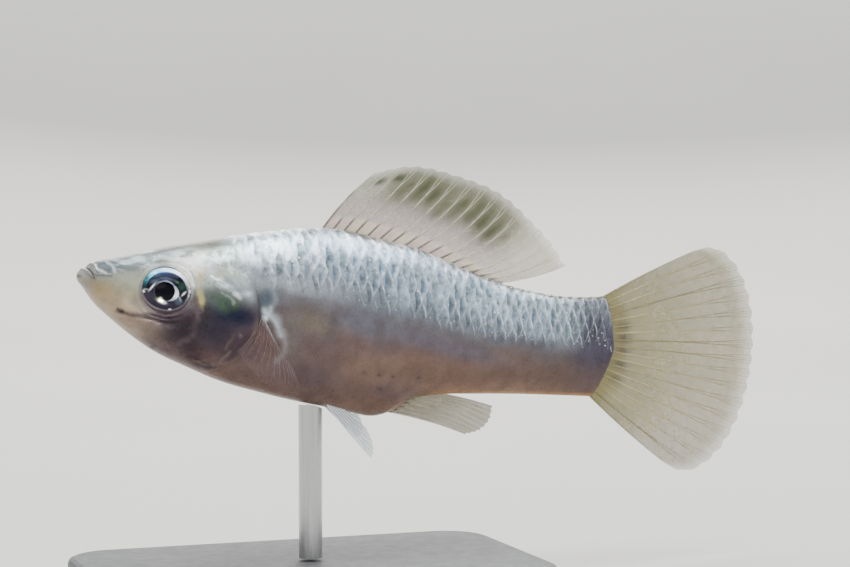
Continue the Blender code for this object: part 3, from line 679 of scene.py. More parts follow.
def head_coat(s, z, v, depth):
    """The coat of the head, from the lips back to the gill cover's edge."""
    ws = s + 0.014 * (clouds(s, v, 0.026, 21) - 0.5)
    wz = z + 0.014 * (clouds(s, v, 0.026, 24) - 0.5)
    gs = s + 0.008 * (clouds(s, v, 0.010, 63) - 0.5)
    gz = z + 0.008 * (clouds(s, v, 0.010, 66) - 0.5)
    colour = between(ramp(depth, FACE_REAR), ramp(depth, FACE_FRONT), ease(ws, 0.150, 0.060)[..., None])
    dark_edge = ease(depth, 0.045, 0.015) * ease(s, 0.06, 0.10) * ease(s, 0.25, 0.20)
    colour = painted(over(colour, (78, 76, 64), 0.70 * dark_edge), ws, wz, FACE)

    crown = ease(depth, 0.24, 0.14) * ease(s, 0.045, 0.065) * ease(s, 0.20, 0.15)
    mottle = clouds(s, v * 1.6, 0.022, 35)
    bright = blob(ws, wz, (0.205, 0.040), (0.060, 0.026), -10)
    glitter = clouds(s, v, 0.013, 37)
    green = blob(ws, wz, (0.238, -0.012), (0.018, 0.014)) * ease(clouds(s, v, 0.014, 51), 0.30, 0.50)
    yellow = blob(ws, wz, (0.192, -0.012), (0.0046, 0.019)) * ease(cloud(s, v, 0.012, 55), 0.15, 0.45)
    # The silver line on the gill cover's top is its own silver; its brightening where this noise is high is
    # painted glints
    painted_glint_noise = ease(cloud(s, v, 0.009, 58), 0.30, 0.60)
    ragged = ease(cloud(s, v, 0.010, 61), 0.30, 0.55)
    colour = layered(
        colour,
        ((84, 94, 90), 0.70 * crown * ease(mottle, 0.50, 0.60)),
        ((206, 218, 220), 0.60 * crown * ease(mottle, 0.44, 0.34)),
        ((250, 250, 246), 0.85 * bright * ease(glitter, 0.52, 0.60)),
        ((158, 164, 152), 0.55 * bright * ease(glitter, 0.42, 0.34)),
        ((206, 196, 140), 0.55 * bright * ease(cloud(s, v, 0.017, 39), 0.62, 0.77)),
        ((48, 38, 44), 0.85 * stroke(ws, wz, JAW_LINE, 0.0050)),
        ((66, 88, 54), 0.90 * green),
        ((176, 168, 106), 0.85 * yellow),
        ((208, 220, 226), 0.92 * stroke(gs, gz, OPERCLE_TOP, 0.0030) * (0.35 + 0.65 * painted_glint_noise)),
        ((186, 198, 206), 0.75 * stroke(gs, gz, OPERCLE_BACK, 0.0028)),
        ((170, 182, 184), 0.40 * stroke(gs + 0.004, gz + 0.010, OPERCLE_TOP, 0.0018) * (1 - painted_glint_noise)),
        ((184, 194, 198), 0.60 * stroke(ws, wz - 0.016, OPERCLE_TOP, 0.0026) * painted_glint_noise),
        ((136, 118, 108), 0.42 * stroke(ws, wz, PREOPERCLE, 0.0028) * ragged),
        ((108, 90, 84), 0.45 * stroke(ws + 0.010, wz - 0.006, PREOPERCLE, 0.0022) * (1 - ragged)),
        ((102, 88, 94), 0.45 * stroke(ws, wz, PREOPERCLE_FRONT, 0.0062) * (0.5 + 0.5 * ragged)),
    )
    colour = painted(colour, s, z, HEAD_SPOTS)

    e = eye_distance(s, z)
    above = smoothstep(np.sin(np.arctan2(z - EYE_CENTRE[1], s - EYE_CENTRE[0])) * 1.4)
    nape = ease(s, 0.17, 0.22) * ease(z, 0.030, 0.050) * ease(depth, 0.04, 0.10)
    white = ease(clouds(s, v, 0.026, 71), 0.42, 0.56)
    fleck = clouds(s, v, 0.014, 93)
    colour = layered(
        colour,
        ((82, 72, 78), 0.80 * bell(e, 1.06, 0.038) * (1 - above)),
        ((150, 146, 138), 0.75 * bell(e, 1.08, 0.060) * above),
        ((226, 214, 206), 0.80 * blob(s, z, (0.158, 0.040), (0.012, 0.0030), 12)),
        ((84, 84, 80), 0.55 * bell(e, 1.20, 0.04) * above),
        ((236, 240, 240), 0.85 * stroke(s, z, EYE_FOLD, 0.0018)),
        ((160, 140, 130), 0.60 * stroke(s - 0.005, z, EYE_FOLD, 0.0018)),
        ((222, 232, 234), 0.55 * nape * white),
        ((150, 162, 160), 0.30 * nape * (1 - white)),
        ((236, 252, 250), 0.90 * nape * ease(fleck, 0.52, 0.60)),
        ((140, 156, 156), 0.55 * nape * ease(fleck, 0.42, 0.32)),
        ((192, 202, 208), 0.60 * stroke(s, z, SNOUT_FOLD, 0.0026)),
        ((176, 188, 196), 0.55 * blob(s, z, (0.075, 0.030), (0.009, 0.004), -14)),
        ((140, 136, 132), 0.60 * ease(s, 0.026, 0.016)),
        ((84, 82, 78), 0.75 * stroke(s, z, LOWER_RIM, 0.0022)),
        ((98, 98, 94), 0.75 * stroke(s, z, UPPER_FLAP, 0.0019)),
        ((236, 236, 228), 0.85 * stroke(s, z, FLAP_GROOVE, 0.0018)),
        ((66, 68, 66), 0.75 * blob(s, z, (0.0015, -0.0035), (0.0030, 0.0030))),
    )
    silver = 0.06 + 0.30 * stroke(s, z, OPERCLE_TOP, 0.008) + 0.30 * nape * white + 0.20 * bright
    speckle = 0.20 + 0.75 * ease(depth, 0.20, 0.06) + 0.4 * blob(s, z, (0.150, -0.095), (0.07, 0.03))
    return colour, silver, np.clip(speckle, 0, 1)


def eye_distance(s, z):
    """How far a point lies from the eye's centre, as a share of the seen eye's radii."""
    return np.hypot((s - EYE_CENTRE[0]) / EYE_SEEN[0], (z - EYE_CENTRE[1]) / EYE_SEEN[1])


# Materials of the fish

def skin_material():
    look = Look("molly_skin", IOR=1.34, Specular_IOR_Level=0.20)
    where, silver = look.read("fish", "Vector"), look.read("silver", "Fac")
    colour = look.shaded(look.read("tint"), look.noise(where, 42.0, 5.0, 0.6), 0.82, 1.16)
    specks = look.times(look.dots(where, 210.0, 0.30, 0.12), look.read("speckle", "Fac"), clamp=True)
    colour = look.mix(look.times(specks, 0.32), colour, (0.035, 0.030, 0.024, 1))
    # Painted glints: small bluish-white flecks where the skin is silvery
    painted_glints = look.times(look.dots(where, 150.0, 0.22, 0.10), look.spread(silver, 0.30, 0.50))
    colour = look.mix(look.times(painted_glints, 0.75), colour, (0.92, 0.97, 1.0, 1))
    fine = look.noise(where, 190.0, 3.0)
    look.set(Base_Color=colour, Metallic=silver, Roughness=look.spread(fine, 0.3, 0.7, 0.24, 0.42))
    look.bump(fine, 0.35, 0.00006)
    return look.material


def scale_material():
    """cell holds how near the rear rim, the pattern's strength, the scale's luck, and low (0) to high (1)."""
    look = Look("molly_scales", IOR=1.36, Specular_IOR_Level=0.4)
    where = look.read("fish", "Vector")
    edge, strength, luck = (look.node("SeparateColor", {0: look.read("cell")}, k) for k in range(3))
    height = look.read("cell", "Alpha")
    grain = look.noise(where, 120.0, 5.0, 0.65)
    broad = look.noise(where, 34.0, 3.0, 0.6)
    uneven = look.spread(broad, 0.35, 0.62, 0.25, 1.0)
    ragged_edge = look.math("ADD", edge, look.math("MULTIPLY_ADD", grain, 0.16, -0.08))
    # Painted light: the rim is lightened most on the scale's upper half, as if lit from above
    across = look.times(look.spread(height, 0.30, 0.62, 0.38, 1.0), look.spread(height, 1.0, 0.80))
    rim = look.times(look.spread(ragged_edge, 0.83, 0.95), across)
    # The dark core is partly each scale's own darker middle, partly painted shade under the scales ahead of
    # it
    core_pigment_and_shade = look.times(look.spread(ragged_edge, 0.10, 0.42), look.spread(ragged_edge, 0.90, 0.50))
    colour = look.shaded(look.read("tint"), luck, 0.76, 1.16)
    glittering = look.shaded(colour, look.noise(where, 78.0, 3.0, 0.55), 0.52, 1.50)
    colour = look.mix(look.times(strength, 0.85), colour, glittering)
    dark = look.mix(1.0, colour, (0.36, 0.42, 0.48, 1), "MULTIPLY")
    colour = look.mix(look.times(core_pigment_and_shade, look.times(strength, uneven)), colour, dark)
    # The rim's lightening is partly its own silver, partly painted highlight
    rim_silver_and_highlight = look.times(rim, look.times(strength, 0.80))
    rim_silver_and_highlight = look.times(rim_silver_and_highlight, look.times(uneven, look.spread(strength, 0.25, 0.90)))
    colour = look.mix(rim_silver_and_highlight, colour, (0.78, 0.88, 0.98, 1))
    colour = look.shaded(colour, grain, 0.86, 1.12)
    specks = look.times(look.dots(where, 230.0, 0.26, 0.10), look.read("speckle", "Fac"))
    colour = look.mix(look.times(specks, 0.30), colour, (0.03, 0.028, 0.022, 1))
    # Painted glints: white sparkle where the scale pattern is strongest
    painted_sparkle = look.times(look.dots(where, 88.0, 0.22, 0.10), look.spread(strength, 0.95, 1.0))
    painted_sparkle = look.times(painted_sparkle, look.spread(broad, 0.42, 0.58, 0.15, 0.95))
    colour = look.mix(painted_sparkle, colour, (0.95, 0.98, 1.0, 1))
    roughness = look.spread(grain, 0.3, 0.7, 0.24, 0.46)
    look.set(Base_Color=colour, Metallic=look.read("silver", "Fac"), Roughness=roughness)
    growth_rings = look.math("SINE", look.times(edge, 70.0))
    look.bump(look.math("MULTIPLY_ADD", growth_rings, 0.10, grain), 0.30, 0.00005)
    return look.material


def membrane_material():
    look = Look("fin_membrane", Roughness=0.35, IOR=1.36)
    noise = look.noise(look.read("fish", "Vector"), 70.0, 5.0, 0.6)
    alpha = look.times(look.read("alpha", "Fac"), look.spread(noise, 0.25, 0.75, 0.9, 1.1), clamp=True)
    look.set(Base_Color=look.shaded(look.read("tint"), noise, 0.92, 1.07), Alpha=alpha)
    look.bump(noise, 0.25, 0.00005)
    return look.material


def ray_material():
    look = Look("fin_rays", Roughness=0.38, IOR=1.45)
    noise = look.noise(look.read("fish", "Vector"), 160.0, 3.0)
    look.set(Base_Color=look.shaded(look.read("tint"), noise, 0.85, 1.12), Alpha=look.read("alpha", "Fac"))
    look.bump(noise, 0.3, 0.00004)
    return look.material


def eye_material():
    look = Look("molly_eye", Roughness=0.08, IOR=1.36, Specular_IOR_Level=0.20)
    fibres = look.noise(look.read("iris", "Vector"), 5.0, 5.0, 0.7)
    colour = look.shaded(look.read("tint"), fibres, 0.74, 1.24)
    look.set(Base_Color=colour, Metallic=look.read("silver", "Fac"))
    return look.material


# The skin

SKIN_AROUND = 224
GILL_MIDDLE = 0.275
GILL_PULL = 0.16
GILL_STEP = 0.0012
SOCKET_RINGS, SOCKET_AROUND = 40, 72
SOCKET_GAP = 0.0004
MOUTH_CUT = 0.06


def relief(s, z):
    """How far the head's forms stand out from the plain body, sideways, as a share of the length."""
    to_edge = s - gill_station(z)
    on_side = ease(z, 0.045, 0.015) * ease(z, -0.150, -0.120)
    cover = GILL_RISE * ease(to_edge, -GILL_BAND, 0) * (to_edge < 0) * on_side
    furrow = -0.0013 * np.exp(-to_edge / 0.012) * (to_edge >= 0) * on_side
    e = eye_distance(s, z)
    rim = 0.0024 * bell(e, 1.04, 0.060) - 0.0008 * bell(e, 1.24, 0.08)
    lines = -0.0018 * stroke(s, z, PREOPERCLE, 0.0026) - 0.0014 * stroke(s, z, JAW_LINE, 0.0030)
    lines = lines + 0.0016 * stroke(s, z, OPERCLE_TOP, 0.0045) + 0.0012 * stroke(s, z, EYE_FOLD, 0.0026)
    lines = lines - 0.0016 * stroke(s, z - 0.009, OPERCLE_TOP, 0.0035)
    lumps = 0.0016 * (clouds(s, z, 0.020, 75) - 0.5) * ease(s, 0.05, 0.09) * (to_edge < 0)
    return cover + furrow + rim + lines + lumps * (e > 1.05)


def snout_relief(s, z):
    """How far the mouth's folds stand out, along the surface's normal."""
    out = 0.0016 * stroke(s, z, UPPER_FLAP, 0.0016) - 0.0030 * stroke(s, z, FLAP_GROOVE, 0.0019)
    return out + 0.0010 * stroke(s, z, LOWER_RIM, 0.0018) - 0.0012 * stroke(s, z, SNOUT_FOLD, 0.0024)


def skin_points():
    """The skin as rings; rings near the gill opening follow the gill cover's edge."""
    tip = [0.00002, 0.0006, 0.0016, 0.003]
    head = np.concatenate([tip, np.arange(0.0042, 0.062, 0.0012), np.arange(0.063, 0.360, 0.0025)])
    head = head[np.abs(head - GILL_MIDDLE) > GILL_STEP * 1.5]
    head = np.sort(np.concatenate([head, [GILL_MIDDLE - GILL_STEP, GILL_MIDDLE + GILL_STEP]]))
    arc = TAIL_ARC_START + TAIL_ARC_DEPTH * (1 - (1 - np.linspace(0, 0.995, 14)) ** 2)
    base = np.concatenate([head, np.arange(0.362, TAIL_ARC_START - 0.003, 0.0052), arc])
    angles = full_turn(SKIN_AROUND) + math.pi / SKIN_AROUND
    s0, angle = grid(base, angles)
    pull = smoothstep(1 - np.abs(s0 - GILL_MIDDLE) / GILL_PULL)
    s = s0.copy()
    for _ in range(4):
        z = hull(s, angle)[..., 2]
        s = s0 + pull * (gill_station(z) - GILL_MIDDLE)
    points = hull(s, angle)
    half = section(s)[2]
    out = relief(s, points[..., 2]) * np.minimum(1, np.abs(points[..., 1]) / half * 1.6)
    points[..., 1] += np.sign(points[..., 1]) * out
    near = base < 0.065
    points[near] += hull_normal(s[near], angle[near]) * snout_relief(s[near], points[near, :, 2])[..., None]
    return points


def lip(name, front, drop, swell):
    """A fleshy bead along the mouth's edge, thick in front and thin at the corners."""
    turn = np.linspace(-math.pi / 2, math.pi / 2, 60)
    back = 1 - np.cos(turn)
    s, z = (front[k] + drop[k] * back for k in (0, 1))
    line = np.column_stack([s, LIP_HALF_WIDTH * np.sin(turn), z])
    radii = LIP_RADIUS * swell * (1 - 0.45 * np.abs(np.sin(turn)) ** 3)
    radii[[0, -1]] *= 0.3
    return closed_mesh(name, *tube(line, radii, np.tile([0.3, 0.0, 1.0], (60, 1)), 20))


def mouth_slot():
    """A thin curved wedge across the mouth: wide at the lips, closing at the corner of the gape."""
    run = unit(np.gradient(MOUTH_PATH, axis=0))
    side = np.column_stack([-run[:, 1], run[:, 0]]) * np.linspace(0.0030, 0.0006, len(run))[:, None]
    outline = np.concatenate([MOUTH_PATH + side, (MOUTH_PATH - side)[::-1]])
    count = len(outline)
    near = np.column_stack([outline[:, 0], np.full(count, -MOUTH_CUT), outline[:, 1]])
    return closed_mesh("mouth_slot", np.concatenate([near, near * (1, -1, 1)]), capped_grid(2, count))


def mouth_inside(points):
    """1 well inside the mouth's slot."""
    s, y, z = points.T
    depth = flank_y(np.maximum(s, 0.001), z) - np.abs(y)
    near = np.full(len(s), FAR)
    close = s < 0.05
    apart = points[close][:, None, ::2] - MOUTH_PATH
    near[close] = np.linalg.norm(apart, axis=-1).min(axis=1)
    return (near < 0.0026) * ease(depth, 0.003, 0.007)


def eye_ball(side, rings, around, grow=0.0, dome=0.0):
    """Points of the eyeball, ring by ring from the pupil's middle, with their distance e and angle phi there.

    e is a share of the eyeball's radius, and 2 is added to it on the rear half.
    """
    s, z = EYE_CENTRE
    centre = np.array([s, side * (float(flank_y(s, z)) + EYE_PROUD - EYE_RADII[1]), z])
    a, phi = grid(np.linspace(0.004, math.pi - 0.004, rings), full_turn(around))
    along = (EYE_RADII[0] + grow) * np.sin(a) * np.cos(phi)
    up = (EYE_RADII[2] + grow) * np.sin(a) * np.sin(phi)
    out = (EYE_RADII[1] + grow) * np.cos(a) + dome * np.exp(-((np.sin(a) / 0.62) ** 4)) * (a < math.pi / 2)
    up, out = up * math.cos(EYE_UP) + out * math.sin(EYE_UP), out * math.cos(EYE_UP) - up * math.sin(EYE_UP)
    c, d = math.cos(EYE_FORWARD), math.sin(EYE_FORWARD)
    points = centre + np.stack([along * c - out * d, side * (out * c + along * d), up], axis=-1)
    return points, np.sin(a) + (a > math.pi / 2) * 2, phi


def ball(name, where, radius, rings=14, around=20):
    a, f = grid(np.linspace(0.03, math.pi - 0.03, rings), full_turn(around))
    way = np.stack([np.sin(a) * np.cos(f), np.sin(a) * np.sin(f), np.cos(a)], -1)
    return closed_mesh(name, where + radius * way, capped_grid(rings, around))


def unwrap(s, y, z, side):
    """The left and the right half of the skin one above the other, laid out by station and girth."""
    back, belly, half, widest = section(s)[:4]
    height = np.where(z > widest, back - widest, widest - belly)
    angle = np.arctan2((z - widest) / np.maximum(height, 1e-4), np.abs(y) / np.maximum(half, 1e-4))
    v = 0.02 + 0.31 * (angle / math.pi + 0.5) + np.where(side > 0, 0.34, 0.0)
    return np.column_stack([0.02 + 0.94 * np.clip(s, 0, 1), v])


def skin_uv(mesh, points):
    """Where each corner of the skin's faces lies on the unwrap; a whole face is on one half."""
    owner = np.repeat(np.arange(len(mesh.polygons)), [len(f.vertices) for f in mesh.polygons])
    middles = np.array([f.center[1] for f in mesh.polygons])
    s, y, z = points[loop_points(mesh)].T
    return unwrap(s, y, z, np.where(middles[owner] < 0, -1, 1))


def soften_lips(shape):
    """Blends the lips into the face."""
    near = [v for v in shape.verts if 0.004 < v.co.x < 0.034]
    axes = {"use_axis_x": True, "use_axis_y": True, "use_axis_z": True}
    for _ in range(2):
        bmesh.ops.smooth_vert(shape, verts=near, factor=0.5, **axes)


def make_skin(material):
    rings = skin_points()
    body = closed_mesh("body", rings, capped_grid(*rings.shape[:2]))
    combine(body, lip("upper_lip", (0.0222, 0.0175), (0.0065, -0.0150), 0.66), "UNION")
    combine(body, lip("lower_lip", (0.0085, 0.0060), (0.0170, -0.0120), 0.80), "UNION")
    edit_mesh(body, soften_lips)
    combine(body, mouth_slot(), "DIFFERENCE")
    for side in (-1, 1):
        points = eye_ball(side, SOCKET_RINGS, SOCKET_AROUND, SOCKET_GAP)[0]
        combine(body, closed_mesh("socket", points, capped_grid(SOCKET_RINGS, SOCKET_AROUND)), "DIFFERENCE")
        for (station, rise), size in zip(NOSTRILS, (1.0, 0.8)):
            angle = math.pi / 2 * rise
            where = hull(station, angle) + 0.6 * NOSTRIL_RADIUS * hull_normal(station, angle)
            combine(body, ball("nostril", where * (1, side, 1), NOSTRIL_RADIUS * size), "DIFFERENCE")
    mesh = body.data
    points = np.array([v.co for v in mesh.vertices])
    faces = [list(f.vertices) for f in mesh.polygons]
    colour, silver, speckle = coat(points[:, 0], points[:, 2])
    inside = mouth_inside(points)
    colour = over(colour, (52, 40, 38), 0.9 * inside)
    attributes = {"tint": opaque(colour), "fish": points, "silver": silver * (1 - inside), "speckle": speckle}
    uv = skin_uv(mesh, points)
    bpy.data.objects.remove(body)
    stands_for = ("head", "lower_jaw", "trunk", "tail_stock")
    piece("skin", points, faces, material, attributes, uv, stands_for, sharp=50)


# The scales

PITCH_FRONT, PITCH_REAR = 0.0245, 0.0212
ROW_FRONT, ROW_REAR = 0.0290, 0.0236
ROWS = range(-10, 11)
SCALE_LENGTH = 1.75
SCALE_HALF_WIDTH = 1.06
SCALE_ACROSS = [-1, -0.88, -0.70, -0.48, -0.24, 0, 0.24, 0.48, 0.70, 0.88, 1]
SCALE_ALONG = [0, 0.28, 0.46, 0.60, 0.71, 0.80, 0.87, 0.925, 0.965, 1.0]
SCALES_START, SCALES_END = 0.150, 1.010
LAST_STATION = 0.9985
PATCH = 0.003


def scale_pitch(s):
    return between(PITCH_FRONT, PITCH_REAR, ease(s, 0.30, 0.85))


def row_step(s):
    """The distance between two rows of scales, round the girth."""
    return between(ROW_FRONT, ROW_REAR, ease(s, 0.40, 0.75))


GIRTH_STATIONS = np.linspace(0.10, 0.999, 240)
GIRTH_DISTANCES = np.linspace(-0.30, 0.30, 401)


def girth_table():
    """For stations and distances round the girth from the widest point, the hull's angle there."""
    angles = np.linspace(-math.pi * 0.95, math.pi * 0.95, 700)
    table = []
    for s in GIRTH_STATIONS:
        run = distances(hull(np.full(len(angles), s), angles))
        run -= np.interp(0, angles, run)
        table.append(np.interp(GIRTH_DISTANCES, run, angles))
    return np.array(table)


GIRTH_ANGLES = girth_table()


def place_in(values, at):
    """The whole and the broken part of each place in an evenly spaced list of values."""
    place_at = np.clip((at - values[0]) / (values[1] - values[0]), 0, len(values) - 1.001)
    whole = place_at.astype(int)
    return whole, place_at - whole


def girth_angle(s, q):
    """The hull's angle at station s, a distance q round the girth above the widest point."""
    i, a = place_in(GIRTH_STATIONS, s)
    j, b = place_in(GIRTH_DISTANCES, q)
    low, high = (between(GIRTH_ANGLES[k, j], GIRTH_ANGLES[k, j + 1], b) for k in (i, i + 1))
    return between(low, high, a)


def scale_roots():
    """Every scale's station and row; the odd rows are half a scale behind."""
    along = np.linspace(SCALES_START, SCALES_END, 600)
    count = np.concatenate([[0], np.cumsum(np.diff(along) / scale_pitch((along[1:] + along[:-1]) / 2))])
    roots = []
    for row in ROWS:
        places = np.arange(0.0, count[-1], 1.0) + (0.5 if row % 2 else 0.0)
        roots += [(float(np.interp(at, count, along)), row) for at in places[places < count[-1]]]
    return roots


def make_scales(side, word, material):
    draw = np.random.default_rng(11 if side < 0 else 23)
    t, w = grid(SCALE_ALONG, SCALE_ACROSS)
    rows, columns = t.shape
    form = grid_faces(rows, columns, flip=side < 0)
    heart = rows * columns
    form += [(b, a, heart) if side < 0 else (a, b, heart) for a, b in rim_pairs(rows, columns)]
    size = heart + 1
    fish, cells, patches = [], [], []
    for root, row in scale_roots():
        pitch = float(scale_pitch(root))
        middle = root + 0.7 * pitch * SCALE_LENGTH
        if middle > 1.0:
            continue
        angle = float(girth_angle(np.array(middle), np.array(row * float(row_step(middle)))))
        where = hull(middle, angle)
        z = float(where[2])
        if abs(angle) > math.pi / 2 + 0.10:
            continue
        in_front = middle < float(gill_station(z)) + 0.020 + (0.030 if z < -0.10 else 0.0)
        nape = z > 0.048 and middle > 0.185
        if in_front and not nape:
            continue
        luck = draw.random(3)
        step = row_step(middle)
        width = SCALE_HALF_WIDTH * step * (1 + 0.06 * (luck[1] - 0.5))
        reach = pitch * (SCALE_LENGTH - 0.5 * np.abs(width * w / step) ** 1.65)
        s = np.minimum(root + reach * t + 0.05 * pitch * (luck[2] - 0.5), LAST_STATION)
        narrow = 1 - 0.22 * (1 - t) ** 2
        q = row * row_step(s) + width * w * narrow + 0.03 * step * (luck[0] - 0.5)
        a = girth_angle(s, q)
        level = zones(s, hull(s, a)[..., 2])
        strength = (0.12 + 0.88 * ease(level, -0.24, 0.48)) * (1 - 0.30 * ease(s, 0.88, 0.98))
        if in_front:
            strength *= 0.75 * ease(s, 0.19, 0.26)
        lift = -0.0028 + 0.0046 * (0.40 + 0.60 * strength) * t**1.1 - 0.0008 * w**2 - 0.0005 * (t > 0.99)
        closing = 1 - ease(s, 0.985, 0.999)
        lift = lift * closing - 0.002 * (1 - closing)
        points = hull(s, a) + hull_normal(s, a) * lift[..., None]
        centre = hull(root + 0.8 * pitch, angle) + hull_normal(root + 0.8 * pitch, angle) * -0.0022
        fish.append(np.concatenate([points.reshape(-1, 3), centre.reshape(1, 3)]) * (1, side, 1))
        near_rim = np.append(1 - np.clip(reach * (1 - t) / pitch, 0, 1), 0.5)
        high = np.append((w + 1) / 2, 0.5)
        strengths = np.append(strength, strength.mean())
        cells.append(np.column_stack([near_rim, strengths, np.full(size, luck[0]), high]))
        root_uv = unwrap(np.array([root]), where[1:2], np.array([z]), np.array([side]))[0]
        patches.append(root_uv + PATCH * np.column_stack([np.append(t, 0.5) - 0.5, np.append(w, 0) / 2]))
    faces = [[n * size + k for k in face] for n in range(len(fish)) for face in form]
    points, cells = np.concatenate(fish), np.concatenate(cells)
    s, z, luck = points[:, 0], points[:, 2], cells[:, 2]
    colour, silver, speckle = coat(s, z)
    patchy = ease(s, 0.47, 0.37) * ease(z, 0.045, 0.075)
    along_back = ease(zones(s, z), 0.86, 0.92) * ease(s, 0.38, 0.42) * ease(s, 0.76, 0.71)
    colour = layered(
        colour,
        ((226, 238, 244), 0.70 * (luck > 0.66) * patchy),
        ((112, 128, 128), 0.40 * (luck < 0.22) * patchy),
        ((228, 218, 226), 0.60 * (luck > 0.55) * along_back),
    )
    attributes = {"tint": opaque(colour), "fish": points, "silver": silver, "speckle": speckle, "cell": cells}
    piece(f"scales_{word}", points, faces, material, attributes, np.concatenate(patches), sharp=55)


# The eyes

EYE_RINGS, EYE_AROUND = 120, 144
EYE_DOME = 0.0016
PUPIL_RADIUS = 0.435


def sector(angle, middle, width):
    """1 at the middle of a sector in degrees, falling to 0 past its width."""
    return bell((angle - middle + 180) % 360 - 180, 0, width)


def iris_colours(e, phi):
    """Colour and silveriness of the eye; the pupil sits a little forward of and below the middle."""
    a, u = e * np.cos(phi), e * np.sin(phi)
    shift = 1 - ease(e, 0.50, 0.92)
    pa, pu = (a + 0.074 * shift) / 0.934, (u + 0.135 * shift) / 1.041
    r = np.hypot(pa, pu)
    # Angles are read with the fish's nose-up pitch taken off, as the photo shows them
    degrees = (np.degrees(np.arctan2(u, a)) - NOSE_UP_DEGREES) % 360
    around = (np.degrees(np.arctan2(pu, pa)) - NOSE_UP_DEGREES) % 360
    fine = cloud(a, u, 0.07, 92)
    pupil = ease(r, PUPIL_RADIUS, PUPIL_RADIUS - 0.02) * (e < 1)
    ring = ease(r, 0.425, 0.445) * smoothstep((0.485 + 0.13 * sector(around, -18, 36) - r) / 0.025)
    bright = 0.04 + 0.96 * np.maximum(sector(around, -8, 44), 0.85 * sector(around, 70, 42))
    bright = bright * (0.55 + 0.45 * ease(cloud(pa, pu, 0.16, 91), 0.25, 0.55))
    off_ring = ease(r, 0.45, 0.48)
    # Painted reflections: the dark blue band across the iris's upper part and the bright crescent along its
    # top
    dark_band_reflection = ease(e, 0.54, 0.60) * ease(e, 0.80, 0.75) * sector(degrees, 84, 44)
    blue_band_reflection = ease(e, 0.68, 0.73) * ease(e, 0.82, 0.78) * sector(degrees, 100, 32)
    top = ease(e, 0.77, 0.82) * ease(e, 1.02, 0.97)
    right = ease(e, 0.86, 0.90) * ease(e, 1.0, 0.95) * sector(degrees, -4, 20)
    lid = ease(e, 0.925, 0.955) * (1 - np.maximum(sector(degrees, 75, 62), sector(degrees, -2, 22)))

    def spot(at_a, at_u, long, wide, turn=0.0):
        return blob(a, u, (at_a, at_u), (long, wide), turn)

    # A painted catch-light: a warm white patch at the pupil's lower left, round the eye light's own
    # reflection
    painted_catchlight = np.maximum(spot(-0.13, -0.61, 0.17, 0.075, 20), spot(-0.21, -0.55, 0.08, 0.10))
    colour = layered(
        plain((22, 21, 31), e),
        ((46, 41, 54), 0.8 * spot(-0.70, -0.46, 0.30, 0.30)),
        ((72, 80, 96), 0.6 * spot(0.50, -0.50, 0.22, 0.16, 30)),
        ((40, 36, 50), 0.8 * spot(0.05, -0.72, 0.42, 0.14)),
        ((86, 90, 110), 0.75 * spot(-0.12, 0.47, 0.40, 0.09, 6)),
        ((84, 92, 106), 0.7 * spot(-0.48, 0.30, 0.22, 0.14, -30)),
        ((14, 24, 22), 0.90 * spot(-0.80, 0.03, 0.12, 0.12, 20)),
        ((6, 14, 40), 0.97 * dark_band_reflection),
        ((4, 52, 96), 0.80 * blue_band_reflection),
        ((36, 62, 56), 0.85 * spot(0.60, 0.22, 0.15, 0.24, 24)),
        ((96, 136, 92), 0.50 * spot(0.36, 0.36, 0.09, 0.05, 20)),
        # Painted reflections along the iris's top: cyan, pale blue, white and lavender
        ((92, 214, 232), 0.94 * top * sector(degrees, 120, 28) * (0.55 + 0.45 * ease(fine, 0.25, 0.55))),
        ((196, 232, 255), 0.96 * top * sector(degrees, 80, 30)),
        ((250, 252, 255), 0.98 * top * sector(degrees, 40, 28)),
        ((176, 196, 250), 0.55 * top * sector(degrees, 74, 12) * ease(e, 0.86, 0.90)),
        ((236, 242, 244), 0.90 * right * ease(fine, 0.2, 0.5)),
        ((238, 240, 244), 0.9 * spot(-0.88, -0.24, 0.05, 0.055)),
        ((200, 206, 212), 0.5 * spot(-0.80, -0.14, 0.10, 0.03)),
        ((244, 248, 250), 0.95 * spot(-0.584, -0.013, 0.20, 0.026, -62)),
        ((206, 218, 250), ring * bright),
        ((244, 248, 252), 0.9 * ring * sector(around, -14, 24)),
        ((246, 250, 252), 0.9 * spot(0.69, -0.12, 0.13, 0.034, -56) * off_ring),
        ((150, 162, 178), 0.5 * spot(0.56, -0.38, 0.04, 0.14, -30) * off_ring),
        ((88, 80, 86), 0.9 * np.clip(lid, 0, 1)),
        ((244, 244, 246), 0.9 * spot(0.237, -0.91, 0.045, 0.03)),
        ((40, 38, 44), 0.8 * ease(e, 1.0, 1.03)),
        ((0, 0, 6), pupil),
        ((44, 66, 48), 0.7 * spot(-0.36, -0.52, 0.10, 0.10) * (1 - pupil)),
        ((244, 242, 226), 0.95 * painted_catchlight),
    )
    return colour, (0.20 + 0.30 * ring) * (1 - pupil)


def make_eye(side, word, material):
    points, e, phi = eye_ball(side, EYE_RINGS, EYE_AROUND, dome=EYE_DOME)
    e = e * EYE_RADII[0] / EYE_SEEN[0]
    colour, silver = iris_colours(e, phi)
    faces = capped_grid(EYE_RINGS, EYE_AROUND, flip=side < 0)
    round_phi = np.stack([np.cos(phi), np.sin(phi)], -1)
    iris = np.concatenate([round_phi * 3, e[..., None] * 0.8], -1).reshape(-1, 3)
    uv = 0.5 + 0.15 * (round_phi * np.minimum(e, 3)[..., None]).reshape(-1, 2)
    attributes = {"tint": opaque(colour), "iris": iris, "silver": silver.ravel()}
    points, node = points.reshape(-1, 3), f"eye_{word}"
    face_out(piece(f"eyeball_{word}", points, faces, material, attributes, uv, (node,), sharp=80))


# The fins: each fin has a function from shares of the way across it to its rays' starts, ends and leans

